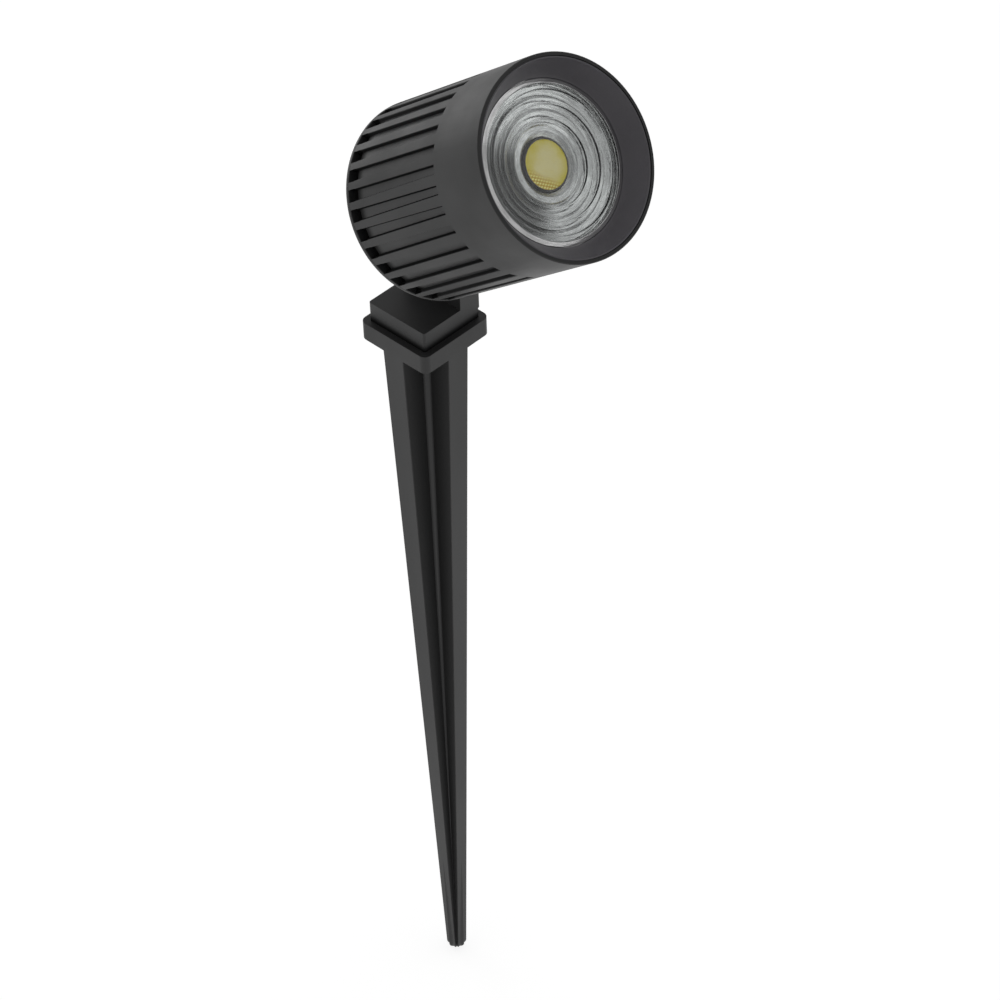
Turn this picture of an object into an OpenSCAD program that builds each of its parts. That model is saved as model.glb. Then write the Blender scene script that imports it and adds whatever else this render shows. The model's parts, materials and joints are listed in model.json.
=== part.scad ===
// Garden spot lamp on a ground stake: a finned round lamp head that tilts on a side bracket,
// and a cross-shaped spike that is pushed into the soil.
// The origin is on the spike's axis at soil level, +Z up. The lamp looks towards -Y.
// Sizes are in millimetres.

/* [Spike] */
// Side of the square flange that rests on the soil
flange_w = 28; // [26:1:36]
// Thickness of the flange
flange_t = 6.4; // [5.6:0.2:9]
// Radius of the flange's four corners
flange_r = 2.4; // [1:0.2:4]
// Length of the tapered cross below the flange
spike_len = 278; // [180:2:320]
// Thickness of each arm at the flange
arm_top = 8.2; // [6:0.2:9]
// Thickness of each arm at the tip
arm_tip = 4; // [3:0.2:5]
// Span across two opposite arms where the point starts
tip_span = 5.8; // [5.2:0.2:8]
// Length of the curved point
tip_len = 4; // [2:0.5:8]
// Leg of the chamfer in the inner corners, at the flange
web_chamfer = 1.7; // [0.6:0.1:2.4]
// Length over which that chamfer fades out
web_len = 236; // [160:2:278]

/* [Bracket] */
// Side of the square foot on the flange
foot_w = 23.6; // [22:0.2:25]
// Height of the foot
foot_h = 7; // [6:0.2:10]
// Radius of the foot's upright edges
foot_r = 0.8; // [0.4:0.1:1.6]
// Thickness of the ear that carries the lamp
ear_t = 8; // [6:0.2:9]
// Height of the pivot above the foot
pivot_rise = 27.6; // [25:0.2:36]
// Side of the square tenon under the foot
tenon_w = 9; // [6:0.5:10]
// Depth of the tenon in the flange
tenon_h = 2.4; // [1.6:0.2:3]

/* [Knuckle] */
// Tilt of the lamp above level at rest, in degrees
tilt = 37.4; // [0:0.2:90]
// Gap between the ear's round edge and the back of the lamp
knuckle_gap = 1.2; // [0.8:0.1:3]
// Height of the lamp's axis above the pivot
knuckle_rise = 6.8; // [5:0.2:8]
// Thickness of the lamp's lug
lug_t = 7; // [6:0.2:9]
// Radius of the lug's round end
lug_r = 8.5; // [7.5:0.1:10]
// Thickness of the friction washer between ear and lug
friction_t = 1; // [0.6:0.1:1.6]
// Diameter of the hinge bolt
hinge_d = 5; // [4:0.5:6]
// Running clearance of the lug on the bolt, on the radius
hinge_clearance = 0.05; // [0.03:0.01:0.09]

/* [Lamp housing] */
// Outer diameter of the lamp
head_d = 60; // [58:1:72]
// Length of the lamp from back to rim
head_len = 69; // [66:1:90]
// Length of the plain band behind the rim
band_len = 22.3; // [16:0.1:26]
// Width of the bare rim face
rim_t = 1.1; // [0.9:0.1:1.6]
// Wall between the outside and the driver chamber
barrel_wall = 5; // [4.6:0.1:6]
// Thickness of the bulkhead that carries the light source
bulkhead_t = 8; // [7:0.2:12]

/* [Cooling fins] */
// Number of fins around the barrel
fin_count = 32; // [24:1:36]
// Depth of the grooves between fins
groove_depth = 1.2; // [0.8:0.1:2]
// Width of a groove at its back end
groove_rear = 3.7; // [3:0.1:4]
// Width of a groove at its front end
groove_front = 2.8; // [2:0.1:3]
// Draft of each groove wall over its depth
groove_draft = 0.45; // [0.2:0.05:0.7]
// Length of the deep pocket at the back of each groove
pocket_len = 3.4; // [2:0.1:5]
// Depth of that pocket
pocket_depth = 3.6; // [2.4:0.1:3.8]

/* [Front optics] */
// Width of the bezel, from the rim's bore to the clear opening over the lens
bezel_w = 4.9; // [4:0.1:6]
// Width of the lens flange beyond that opening
lens_hold = 2.1; // [1.6:0.1:2.4]
// Depth of the recessed hood in front of the lens
hood_depth = 7.2; // [5:0.1:12]
// Thickness of the bezel's lip over the lens flange
lip_t = 0.8; // [0.6:0.1:1.4]
// Depth of the bezel's edge behind the rim face
bezel_sink = 0.3; // [0.2:0.1:0.8]
// Width of the shadow gap between rim and bezel
shadow_gap = 0.5; // [0.3:0.1:0.8]
// Depth of the shadow gap
shadow_depth = 3; // [1.5:0.1:4]
// Thickness of the lens flange
lens_flange_t = 2; // [1.6:0.1:3]
// Depth of the lens behind its flange
lens_step = 0.3; // [0.2:0.1:1]
// Height of the lens's outer ring in front of the bezel's lip
lens_rise = 0.4; // [0.2:0.1:0.8]
// Width of that outer ring
lens_edge = 3; // [2:0.1:4]
// Number of steps down from that ring to the middle of the lens
lens_steps = 3; // [2:1:4]
// Width of each step
lens_step_w = 4.05; // [3.6:0.05:4.4]
// Height of each step
lens_step_h = 0.75; // [0.5:0.05:0.8]
// Thickness of the front gasket
gasket_t = 1.2; // [0.8:0.1:2]
// Width of the reflector's cone round the light source
cone_w = 2.85; // [2:0.05:4]
// Thickness of the reflector
reflector_t = 0.45; // [0.3:0.05:0.6]

/* [Light source] */
// Diameter of the yellow phosphor
phosphor_d = 14.5; // [10:0.5:15]
// Thickness of the phosphor
phosphor_t = 0.9; // [0.6:0.1:1.2]
// Space between the phosphor and the lens
lens_space = 0.9; // [0.8:0.1:1.6]
// Side of the square light source board
cob_w = 19; // [17:0.5:20]
// Thickness of the light source board
cob_t = 1; // [0.8:0.1:1.6]
// Thickness of the thermal pad
pad_t = 0.3; // [0.2:0.05:0.5]
// Diameter of the clamp ring over the board
holder_d = 35; // [33:0.5:36]

/* [Driver] */
// Space between the driver's circuit board and the barrel
pcb_gap = 4; // [3:0.1:5]
// Thickness of the circuit board
pcb_t = 1.6; // [1:0.1:2]
// Length of the spacers between bulkhead and circuit board
spacer_len = 14; // [10:0.5:18]
// Space kept between parts on the circuit board
part_gap = 1.5; // [1:0.1:2.5]
// Outer diameter of a lead
lead_d = 1.2; // [0.8:0.1:1.6]

/* [Back cover] */
// Thickness of the cover's rim
cover_t = 1.4; // [1:0.1:2]
// Depth of the cover's plug in the barrel
plug_t = 3.2; // [3:0.1:4.5]
// Diameter of the sealing ring's section
seal_d = 1.6; // [1.2:0.1:1.8]
// Wall between the cover's screw holes and the groove of the sealing ring
screw_wall = 1.4; // [1.3:0.1:2]

/* [Cable gland] */
// Wall between the gland's hole and the groove of the sealing ring
gland_wall = 3.6; // [3.2:0.1:4.5]
// Width across the flats of the gland body
gland_flats = 13.6; // [13:0.2:14]
// Diameter of the gland's threaded stem
gland_stem_d = 10; // [9:0.5:11]
// Diameter of the mains cable that the seal takes
cable_d = 6; // [5:0.2:6.4]
// Thickness of the gland's hexagon
gland_hex_t = 3; // [2:0.2:4]
// Length of the gland's cap nut
gland_cap_len = 9; // [8:0.5:12]

/* [Screws] */
// Shank diameter of the cover and bracket screws
screw_d = 3; // [2.5:0.1:3.2]
// Length of the cover screws under the head
cover_screw_len = 8; // [7:0.5:9]
// Length of the bracket screws under the head
bracket_screw_len = 9; // [8:0.2:9.4]
// Distance of the bracket screws from the spike's axis, along X and Y
bracket_screw_at = 8.2; // [7.8:0.1:8.6]

/* [Hidden] */

$fn = 96;
fit = 0.1;              // clearance between parts that are pushed together
snug = 0.03;            // clearance round a screw's thread
slide = 0.05;           // clearance beside faces that rub in the knuckle
over = 1;               // how far a cutter runs past the face it opens

anthracite = [0.20, 0.20, 0.20];
moulding = [0.16, 0.16, 0.16];
steel = [0.62, 0.62, 0.64];

// Screws: head sizes follow the shank
screw_head_d = 1.85 * screw_d;
screw_head_h = 0.66 * screw_d;
screw_hole_d = screw_d + 0.4;
sink_d = screw_head_d + 0.5;
sink_depth = screw_head_h + 0.2;

// Stake heights, from soil level
foot_z = flange_t;
ear_z = foot_z + foot_h;
pivot_z = ear_z + pivot_rise;
foot_core = sink_depth + bracket_screw_len - flange_t + 0.4;
web_top = (arm_top + web_chamfer) / sqrt(2);
web_tip = (arm_tip + web_chamfer * (1 - spike_len / web_len)) / sqrt(2);

// Knuckle, along X
ear_r = foot_w / 2;
ear_x = foot_w / 2 - ear_t;
lug_x1 = ear_x - friction_t - 2 * slide;
lug_x0 = lug_x1 - lug_t;
washer_t = 0.2 * hinge_d;
washer_d = 2 * hinge_d;
hinge_nut_t = 0.9 * hinge_d;
hinge_nut_flats = 1.6 * hinge_d;
hinge_head_d = 1.9 * hinge_d;
hinge_head_h = 0.55 * hinge_d;
hinge_len = ear_r - lug_x0 + 2 * washer_t + slide + hinge_nut_t + 0.3 * hinge_d;
knuckle_reach = ear_r + knuckle_gap;

// Lamp, along its own axis from the back face of the cover
head_r = head_d / 2;
barrel_z = cover_t;
chamber_r = head_r - barrel_wall;
pocket_z = barrel_z + pocket_len;
groove_end = head_len - band_len;
bore_r = head_r - rim_t;
bezel_r = bore_r - fit;
bezel_front = head_len - bezel_sink;
bezel_neck_r = bore_r - shadow_gap;
bezel_edge = 0.3;         // width of the bezel's flat front edge
lens_r = bore_r - bezel_w;
lip_front = head_len - hood_depth;
lens_seat = lip_front - lip_t;
lens_flange_r = lens_r + lens_hold;
lens_flange_z = lens_seat - lens_flange_t;
lens_back = lens_flange_z - lens_step;
shoulder_z = lens_flange_z - gasket_t;
light_r = lens_r - fit;
dam_r = phosphor_d / 2 + 1.1;
lens_front = lip_front + lens_rise;
lens_draft = 0.3;

// Light source stack, down from the lens
phosphor_z = lens_back - lens_space - phosphor_t;
cob_z = phosphor_z - cob_t;
deck_z = cob_z - pad_t;
bulkhead_z = deck_z - bulkhead_t;
throat_r = dam_r + 0.6;
holder_t = cob_t + pad_t + phosphor_t - 0.1;
holder_top = deck_z + holder_t;
holder_screw_at = holder_d / 2 - 2.2;
holder_screw_d = 2;
holder_head_d = 1.9 * holder_screw_d;
holder_head_h = 0.5 * holder_screw_d;
holder_head_z = holder_top - holder_head_h - 0.1;
holder_core = 0.45 * bulkhead_t;

// Reflector
source_z = phosphor_z + phosphor_t;
mirror_r = light_r - fit;
mirror_z = lens_back - 0.05;
skirt_t = 0.8;
cone_r = throat_r + cone_w;
lead_in = 0.1;

// Driver
spacer_z = bulkhead_z - spacer_len;
pcb_z = spacer_z - pcb_t;
pcb_d = 2 * (chamber_r - pcb_gap);
spacer_at = pcb_d / 2 - 5;
spacer_turn = 60;
stud_len = 0.4 * bulkhead_t;
spacer_screw_d = 2.5;
spacer_head_d = 1.9 * spacer_screw_d;
terminal = [10, 8, 9];
terminal_y = spacer_at * sin(spacer_turn) - spacer_head_d / 2 - part_gap - terminal[1];
terminal_x = 4;
can_d = 10;
can_len = 16;
can_at = pcb_d / 2 - part_gap - can_d / 2;
can_turn = -40;
lead_y = pcb_d / 2 - 2.4;
lead_gap = 2 * lead_d;
lead_bend = 1.25 * lead_d;
lead_z = cob_z + cob_t / 2;

// Cover and gland
plug_r = chamber_r - fit;
plug_z = barrel_z + plug_t;
seal_z = plug_z - 0.55 - seal_d / 2;
seal_ring_r = chamber_r - seal_d / 2 - 0.02;
seal_groove_r = seal_ring_r - seal_d / 2 - 0.05;
cover_screw_at = seal_groove_r - screw_wall - screw_hole_d / 2;
gland_at = seal_groove_r - gland_wall - gland_stem_d / 2 - fit;
pillar_r = 3.4;
pillar_z = plug_z + fit;
pillar_h = pcb_z - can_len - part_gap - pillar_z;
cover_core_z = sink_depth + cover_screw_len + 0.4;
gland_bore_r = gland_stem_d / 2 - 1.6;
gland_locknut_t = 2.6;
gland_cap_r = 0.46 * gland_flats;
gland_neck_r = gland_cap_r - 1.3;
seal_r = gland_neck_r - 1.1;
seal_back = gland_hex_t + gland_cap_len - 1.6;

// Places the children on the tilting lamp, with its axis along Z and its back at zero
module lamp() {
    translate([0, 0, pivot_z])
        rotate([90 - tilt, 0, 0])
            translate([0, knuckle_rise, knuckle_reach])
                children();
}

// Square with round corners
module rounded_square(w, r) {
    square([w, w - 2 * r], center = true);
    square([w - 2 * r, w], center = true);
    for (x = [-1, 1], y = [-1, 1])
        translate([x * (w / 2 - r), y * (w / 2 - r)])
            circle(r = r, $fn = 48);
}

// Flat ring along Z
module ring(outer_r, inner_r, h) {
    difference() {
        cylinder(r = outer_r, h = h);
        translate([0, 0, -over])
            cylinder(r = inner_r, h = h + 2 * over);
    }
}

// Machine screw pointing down, with the underside of its head at zero and a hexagon socket
module screw(d, len, head_d, head_h) {
    difference() {
        union() {
            cylinder(d = head_d, h = head_h, $fn = 48);
            translate([0, 0, -len])
                cylinder(d = d, h = len + head_h / 2, $fn = 48);
        }
        translate([0, 0, head_h * 0.4])
            cylinder(d = 0.55 * head_d, h = head_h, $fn = 6);
    }
}

// Hexagon nut along Z, from zero up
module hex_nut(flats, hole_d, h) {
    difference() {
        cylinder(d = flats / cos(30), h = h, $fn = 6);
        translate([0, 0, -over])
            cylinder(d = hole_d, h = h + 2 * over, $fn = 48);
    }
}

// The four places of the bracket screws
module at_bracket_screws() {
    for (x = [-1, 1], y = [-1, 1])
        translate([x * bracket_screw_at, y * bracket_screw_at, 0])
            children();
}

// The four places of the cover screws
module at_cover_screws() {
    for (turn = [45:90:315])
        rotate(turn)
            translate([cover_screw_at, 0, 0])
                children();
}

// The two places of the clamp ring's screws
module at_holder_screws() {
    for (x = [-1, 1])
        translate([x * holder_screw_at, 0, 0])
            children();
}

// The two places of the driver's spacers
module at_spacers() {
    for (turn = [0, 180])
        rotate(spacer_turn + turn)
            translate([spacer_at, 0, 0])
                children();
}

// Side view of a tapered blade that ends in a curved point
function blade_outline(top, tip) = concat(
    [[-top / 2, 0.5 * flange_t], [top / 2, 0.5 * flange_t], [top / 2, 0]],
    [for (t = [0:0.125:1]) [tip / 2 * (1 - t * t), -spike_len - tip_len * t]],
    [for (t = [0.875:-0.125:0]) [-tip / 2 * (1 - t * t), -spike_len - tip_len * t]],
    [[-top / 2, 0]]);

// Blade outline stood upright and drawn out along Y, with the given depth
module blade(top, tip, depth) {
    rotate([90, 0, 0])
        linear_extrude(height = depth, center = true)
            polygon(blade_outline(top, tip));
}

// One pair of opposite arms, tapered in span and in thickness
module arms() {
    intersection() {
        blade(flange_w, tip_span, 2 * arm_top);
        rotate(90)
            blade(arm_top, arm_tip, 2 * flange_w);
    }
}

// Tapered core that fills the inner corners of the cross
module web() {
    rotate(45)
        intersection() {
            blade(2 * web_top, 2 * web_tip, 4 * web_top);
            rotate(90)
                blade(2 * web_top, 2 * web_tip, 4 * web_top);
        }
}

// Ground spike, moulded in one piece with its flange
module spike() {
    color(moulding)
        difference() {
            union() {
                linear_extrude(height = flange_t)
                    rounded_square(flange_w, flange_r);
                arms();
                rotate(90)
                    arms();
                web();
            }
            translate([0, 0, flange_t - tenon_h - fit])
                linear_extrude(height = tenon_h + over)
                    square(tenon_w + 2 * fit, center = true);
            at_bracket_screws() {
                translate([0, 0, -over])
                    cylinder(d = sink_d, h = sink_depth + over, $fn = 48);
                translate([0, 0, -over])
                    cylinder(d = screw_hole_d, h = flange_t + 2 * over, $fn = 48);
            }
        }
}

// Side view of the ear: upright sides and a round top about the pivot
module ear_outline() {
    circle(r = ear_r);
    translate([-ear_r, -pivot_rise - foot_h / 2])
        square([2 * ear_r, pivot_rise + foot_h / 2]);
}

// Cast bracket: square foot with one ear at its +X side
module bracket() {
    color(anthracite)
        difference() {
            union() {
                translate([0, 0, foot_z])
                    linear_extrude(height = foot_h)
                        rounded_square(foot_w, foot_r);
                translate([ear_x, 0, pivot_z])
                    rotate([90, 0, 90])
                        linear_extrude(height = ear_t)
                            ear_outline();
                translate([0, 0, foot_z - tenon_h])
                    linear_extrude(height = tenon_h + foot_h / 2)
                        square(tenon_w, center = true);
            }
            translate([ear_x - over, 0, pivot_z])
                rotate([0, 90, 0])
                    cylinder(d = hinge_d + 2 * fit, h = ear_t + 2 * over, $fn = 64);
            at_bracket_screws()
                translate([0, 0, foot_z - over])
                    cylinder(d = screw_d + 2 * snug, h = over + foot_core, $fn = 48);
        }
}

// Four screws that come up through the flange into the foot
module bracket_screws() {
    color(steel)
        at_bracket_screws()
            translate([0, 0, sink_depth])
                rotate([180, 0, 0])
                    screw(screw_d, bracket_screw_len, screw_head_d, screw_head_h);
}

// Hinge bolt, headed at the ear's outer side
module hinge_bolt() {
    color(steel)
        translate([ear_r + washer_t, 0, pivot_z])
            rotate([0, 90, 0])
                screw(hinge_d, hinge_len, hinge_head_d, hinge_head_h);
}

// Plain washers under the bolt's head and under the nut
module hinge_washers() {
    color(steel)
        for (x = [ear_r, lug_x0 - slide - washer_t])
            translate([x, 0, pivot_z])
                rotate([0, 90, 0])
                    ring(washer_d / 2, hinge_d / 2 + fit, washer_t);
}

// Lock nut with a round collar, on the lug's side
module hinge_nut() {
    color(steel)
        translate([lug_x0 - slide - washer_t, 0, pivot_z])
            rotate([0, -90, 0])
                difference() {
                    union() {
                        cylinder(d = hinge_nut_flats / cos(30), h = 0.7 * hinge_nut_t, $fn = 6);
                        cylinder(d = 0.86 * hinge_nut_flats, h = hinge_nut_t, $fn = 64);
                    }
                    translate([0, 0, -over])
                        cylinder(d = hinge_d + 2 * snug, h = hinge_nut_t + 2 * over, $fn = 64);
                }
}

// Friction washer that holds the tilt, between the ear and the lug
module friction_washer() {
    color([0.75, 0.73, 0.68])
        translate([ear_x - slide - friction_t, 0, pivot_z])
            rotate([0, 90, 0])
                ring(lug_r - 0.4, hinge_d / 2 + fit, friction_t);
}

// Cutter for one groove: narrower at the front and at its floor, along +X from the axis
module groove_cutter() {
    low = head_r - groove_depth;
    high = head_r + over;
    flare = groove_draft * (high - low) / groove_depth;
    rear = groove_rear / 2 - groove_draft;
    front = groove_front / 2 - groove_draft;
    z0 = barrel_z - over;
    polyhedron(
        points = [
            [low, -rear, z0], [low, rear, z0], [low, front, groove_end], [low, -front, groove_end],
            [high, -rear - flare, z0], [high, rear + flare, z0],
            [high, front + flare, groove_end], [high, -front - flare, groove_end]],
        faces = [[0, 1, 2, 3], [7, 6, 5, 4], [4, 5, 1, 0], [5, 6, 2, 1], [6, 7, 3, 2], [7, 4, 0, 3]]);
}

// Cutter for the deep pocket behind one groove
module pocket_cutter() {
    translate([head_r - pocket_depth, -groove_rear / 2, barrel_z - over])
        cube([pocket_depth + over, groove_rear, pocket_len + over]);
}

// Outside of the lamp housing: turned blank with a small chamfer at the rim
module housing_blank() {
    edge = 0.3;
    rotate_extrude($fn = 192)
        polygon([[0, barrel_z], [head_r, barrel_z], [head_r, head_len - edge],
            [head_r - edge, head_len], [0, head_len]]);
}

// Bores of the housing: hood, light chamber and driver chamber
module housing_bores() {
    translate([0, 0, shoulder_z])
        cylinder(r = bore_r, h = head_len - shoulder_z + over, $fn = 192);
    translate([0, 0, deck_z])
        cylinder(r = light_r, h = head_len - deck_z, $fn = 192);
    translate([0, 0, barrel_z - over])
        cylinder(r = chamber_r, h = bulkhead_z - barrel_z + over, $fn = 192);
}

// Screw pillars in the driver chamber, each with a web to the wall
module pillars() {
    at_cover_screws()
        translate([0, 0, pillar_z]) {
            cylinder(r = pillar_r, h = pillar_h, $fn = 48);
            translate([0, -pillar_r * 0.7, 0])
                cube([chamber_r - cover_screw_at + over, 1.4 * pillar_r, pillar_h]);
        }
}

// Die-cast housing with its fins
module housing() {
    color(anthracite)
        difference() {
            union() {
                difference() {
                    housing_blank();
                    housing_bores();
                    for (i = [0:fin_count - 1])
                        rotate((i + 0.5) * 360 / fin_count + 90) {
                            groove_cutter();
                            pocket_cutter();
                        }
                }
                pillars();
            }
            at_cover_screws()
                translate([0, 0, pillar_z - over])
                    cylinder(d = screw_d + 2 * snug, h = cover_core_z - pillar_z + over, $fn = 48);
            at_holder_screws()
                translate([0, 0, deck_z - holder_core])
                    cylinder(d = holder_screw_d + 2 * snug, h = holder_core + over, $fn = 48);
            at_spacers()
                translate([0, 0, bulkhead_z - over])
                    cylinder(d = spacer_screw_d + 2 * snug, h = stud_len + over + 0.3, $fn = 48);
            translate([0, -lead_y, bulkhead_z - over])
                cylinder(r = lead_gap / 2 + lead_d, h = bulkhead_t + 2 * over, $fn = 48);
        }
}

// Side view of the lug: round end about the pivot, widening to the cover
module lug_outline() {
    spread = lug_r + 2.5;
    circle(r = lug_r);
    polygon([[-lug_r, 0], [lug_r, 0], [spread, knuckle_reach + over / 2],
        [-spread, knuckle_reach + over / 2]]);
}

// Back cover with its plug and the lug of the knuckle
module rear_cover() {
    color(anthracite)
        difference() {
            union() {
                cylinder(r = head_r, h = cover_t, $fn = 192);
                cylinder(r = plug_r, h = plug_z, $fn = 192);
                translate([lug_x0, -knuckle_rise, -knuckle_reach])
                    rotate([90, 0, 90])
                        linear_extrude(height = lug_t)
                            lug_outline();
            }
            translate([lug_x0 - over, -knuckle_rise, -knuckle_reach])
                rotate([0, 90, 0])
                    cylinder(d = hinge_d + 2 * hinge_clearance, h = lug_t + 2 * over, $fn = 64);
            translate([0, 0, seal_z])
                rotate_extrude($fn = 192)
                    translate([seal_groove_r, -seal_d / 2 - 0.05])
                        square([seal_d + 2 * over, seal_d + 0.1]);
            at_cover_screws() {
                translate([0, 0, -over])
                    cylinder(d = sink_d, h = sink_depth + over, $fn = 48);
                translate([0, 0, -over])
                    cylinder(d = screw_hole_d, h = plug_z + 2 * over, $fn = 48);
            }
            translate([0, gland_at, -over])
                cylinder(d = gland_stem_d + 2 * fit, h = plug_z + 2 * over, $fn = 64);
        }
}

// Sealing ring round the cover's plug
module rear_seal() {
    color([0.08, 0.08, 0.08])
        translate([0, 0, seal_z])
            rotate_extrude($fn = 96)
                translate([seal_ring_r, 0])
                    circle(d = seal_d, $fn = 24);
}

// Four screws that hold the cover
module cover_screws() {
    color(steel)
        at_cover_screws()
            translate([0, 0, sink_depth])
                rotate([180, 0, 0])
                    screw(screw_d, cover_screw_len, screw_head_d, screw_head_h);
}

// Bezel: cone-shaped hood with a lip that holds the lens
module bezel_ring() {
    skirt_r = lens_flange_r + fit;
    skirt_z = shoulder_z + fit;
    color(anthracite)
        rotate_extrude($fn = 192)
            polygon([[skirt_r, skirt_z], [bezel_r, skirt_z], [bezel_r, bezel_front - shadow_depth],
                [bezel_neck_r, bezel_front - shadow_depth], [bezel_neck_r, bezel_front],
                [bezel_neck_r - bezel_edge, bezel_front], [lens_r, lip_front],
                [lens_r, lens_seat], [skirt_r, lens_seat]]);
}

// Foot and edge of one riser on the lens, where i counts the risers from the outer ring inwards
function lens_riser(i) =
    let (r = light_r - lens_edge - i * lens_step_w, z = lens_front - i * lens_step_h)
    [[r - lens_draft, z - lens_step_h], [r, z]];

// Lens with its flange: a shallow bowl of steps round a thin middle
module lens() {
    color([0.80, 0.84, 0.84, 0.6])
        rotate_extrude($fn = 192)
            polygon(concat([[0, lens_front - lens_steps * lens_step_h]],
                [for (i = [lens_steps - 1:-1:0]) each lens_riser(i)],
                [[light_r, lens_front], [light_r, lens_seat], [lens_flange_r, lens_seat],
                [lens_flange_r, lens_flange_z], [light_r - fit, lens_flange_z],
                [light_r - fit, lens_back], [0, lens_back]]));
}

// Gasket between the lens flange and the housing's shoulder
module front_gasket() {
    color([0.75, 0.75, 0.75])
        translate([0, 0, shoulder_z])
            ring(lens_flange_r, light_r + 0.2, gasket_t);
}

// Metallised reflector: cone round the light source, flat ring, and skirt down to the bulkhead
module reflector() {
    color([0.80, 0.80, 0.80])
        rotate_extrude($fn = 192)
            polygon([[throat_r, holder_top], [throat_r, source_z + lead_in],
                [cone_r, mirror_z - lead_in], [mirror_r, mirror_z], [mirror_r, deck_z],
                [mirror_r - skirt_t, deck_z], [mirror_r - skirt_t, mirror_z - reflector_t],
                [cone_r, mirror_z - lead_in - reflector_t], [throat_r + lead_in, holder_top]]);
}

// Square board of the light source with its white dam round the phosphor
module cob_board() {
    color([0.90, 0.90, 0.86])
        union() {
            translate([-cob_w / 2, -cob_w / 2, cob_z])
                cube([cob_w, cob_w, cob_t]);
            translate([0, 0, phosphor_z - 0.1])
                ring(dam_r, phosphor_d / 2, phosphor_t + 0.1);
        }
}

// Yellow phosphor inside the dam
module cob_phosphor() {
    color([0.86, 0.80, 0.30])
        translate([0, 0, phosphor_z])
            cylinder(d = phosphor_d, h = phosphor_t - 0.1);
}

// Clamp ring over the board, with a slot for the leads
module cob_holder() {
    color([0.92, 0.92, 0.90])
        difference() {
            translate([0, 0, deck_z])
                cylinder(d = holder_d, h = holder_t);
            translate([0, 0, deck_z - over])
                cylinder(r = dam_r + fit, h = holder_t + 2 * over);
            translate([-cob_w / 2 - fit, -cob_w / 2 - fit, deck_z - over])
                cube([cob_w + 2 * fit, cob_w + 2 * fit, over + pad_t + cob_t]);
            translate([-lead_gap / 2 - lead_d, -holder_d, deck_z - over])
                cube([lead_gap + 2 * lead_d, holder_d, holder_t + 2 * over]);
            at_holder_screws() {
                translate([0, 0, deck_z - over])
                    cylinder(d = holder_screw_d + 2 * fit, h = holder_t + 2 * over, $fn = 48);
                translate([0, 0, holder_head_z])
                    cylinder(d = holder_head_d + 2 * fit, h = holder_screw_d, $fn = 48);
            }
        }
}

// Two screws of the clamp ring
module holder_screws() {
    color(steel)
        at_holder_screws()
            translate([0, 0, holder_head_z])
                screw(holder_screw_d, holder_core, holder_head_d, holder_head_h);
}

// Thermal pad between the board and the bulkhead
module thermal_pad() {
    color([0.45, 0.50, 0.60])
        translate([-cob_w / 2, -cob_w / 2, deck_z])
            cube([cob_w, cob_w, pad_t]);
}

// Driver's round circuit board with its spacer screw holes
module driver_board() {
    color([0.10, 0.35, 0.20])
        translate([0, 0, pcb_z])
            difference() {
                cylinder(d = pcb_d, h = pcb_t);
                at_spacers()
                    translate([0, 0, -over])
                        cylinder(d = spacer_screw_d + 2 * fit, h = pcb_t + 2 * over, $fn = 48);
            }
}

// Transformer on the back of the circuit board
module driver_transformer() {
    core = [14, 12, 11];
    bobbin = [10, 15, 7];
    color([0.80, 0.65, 0.15])
        translate([-core[0] / 2, 0, pcb_z])
            union() {
                translate([-core[0] / 2, -core[1] / 2, -core[2]])
                    cube(core);
                translate([-bobbin[0] / 2, -bobbin[1] / 2, -bobbin[2] - 2])
                    cube(bobbin);
            }
}

// Smoothing capacitor on the back of the circuit board, at its edge
module driver_capacitor() {
    color([0.12, 0.14, 0.22])
        rotate(can_turn)
            translate([can_at, 0, pcb_z - can_len])
                union() {
                    cylinder(d = can_d, h = 2, $fn = 64);
                    cylinder(d = can_d - 1, h = can_len, $fn = 64);
                    translate([0, 0, 3])
                        cylinder(d = can_d, h = can_len - 3, $fn = 64);
                }
}

// Screw terminal for the mains cable, with its two wire entries
module driver_terminal() {
    color([0.15, 0.45, 0.30])
        translate([terminal_x, terminal_y, pcb_z - terminal[2]])
            difference() {
                cube(terminal);
                for (x = [1, 3])
                    translate([x * terminal[0] / 4, terminal[1] / 2, -over])
                        cylinder(d = 2.6, h = terminal[2] * 2 / 3 + over, $fn = 32);
            }
}

// Two hexagon spacers that hang the circuit board from the bulkhead
module driver_spacers() {
    color([0.78, 0.66, 0.36])
        at_spacers()
            difference() {
                union() {
                    translate([0, 0, spacer_z])
                        cylinder(d = 2 * spacer_screw_d / cos(30), h = spacer_len, $fn = 6);
                    translate([0, 0, bulkhead_z - over])
                        cylinder(d = spacer_screw_d, h = over + stud_len, $fn = 48);
                }
                translate([0, 0, spacer_z - over])
                    cylinder(d = spacer_screw_d + 2 * snug, h = over + 0.5 * spacer_len, $fn = 48);
            }
}

// Two screws that hold the circuit board on its spacers
module driver_screws() {
    color(steel)
        at_spacers()
            translate([0, 0, pcb_z])
                rotate([180, 0, 0])
                    screw(spacer_screw_d, pcb_t + 0.4 * spacer_len, spacer_head_d,
                        0.6 * spacer_screw_d);
}

// One lead: up through the bulkhead, then in to the edge of the light source
module lead() {
    translate([0, -lead_y, pcb_z + pcb_t])
        cylinder(d = lead_d, h = lead_z - lead_bend - pcb_z - pcb_t, $fn = 32);
    translate([0, -lead_y + lead_bend, lead_z - lead_bend])
        rotate([90, 0, -90])
            rotate_extrude(angle = 90, $fn = 32)
                translate([lead_bend, 0])
                    circle(d = lead_d, $fn = 32);
    translate([0, -lead_y + lead_bend, lead_z])
        rotate([-90, 0, 0])
            cylinder(d = lead_d, h = lead_y - lead_bend - cob_w / 2, $fn = 32);
}

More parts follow.
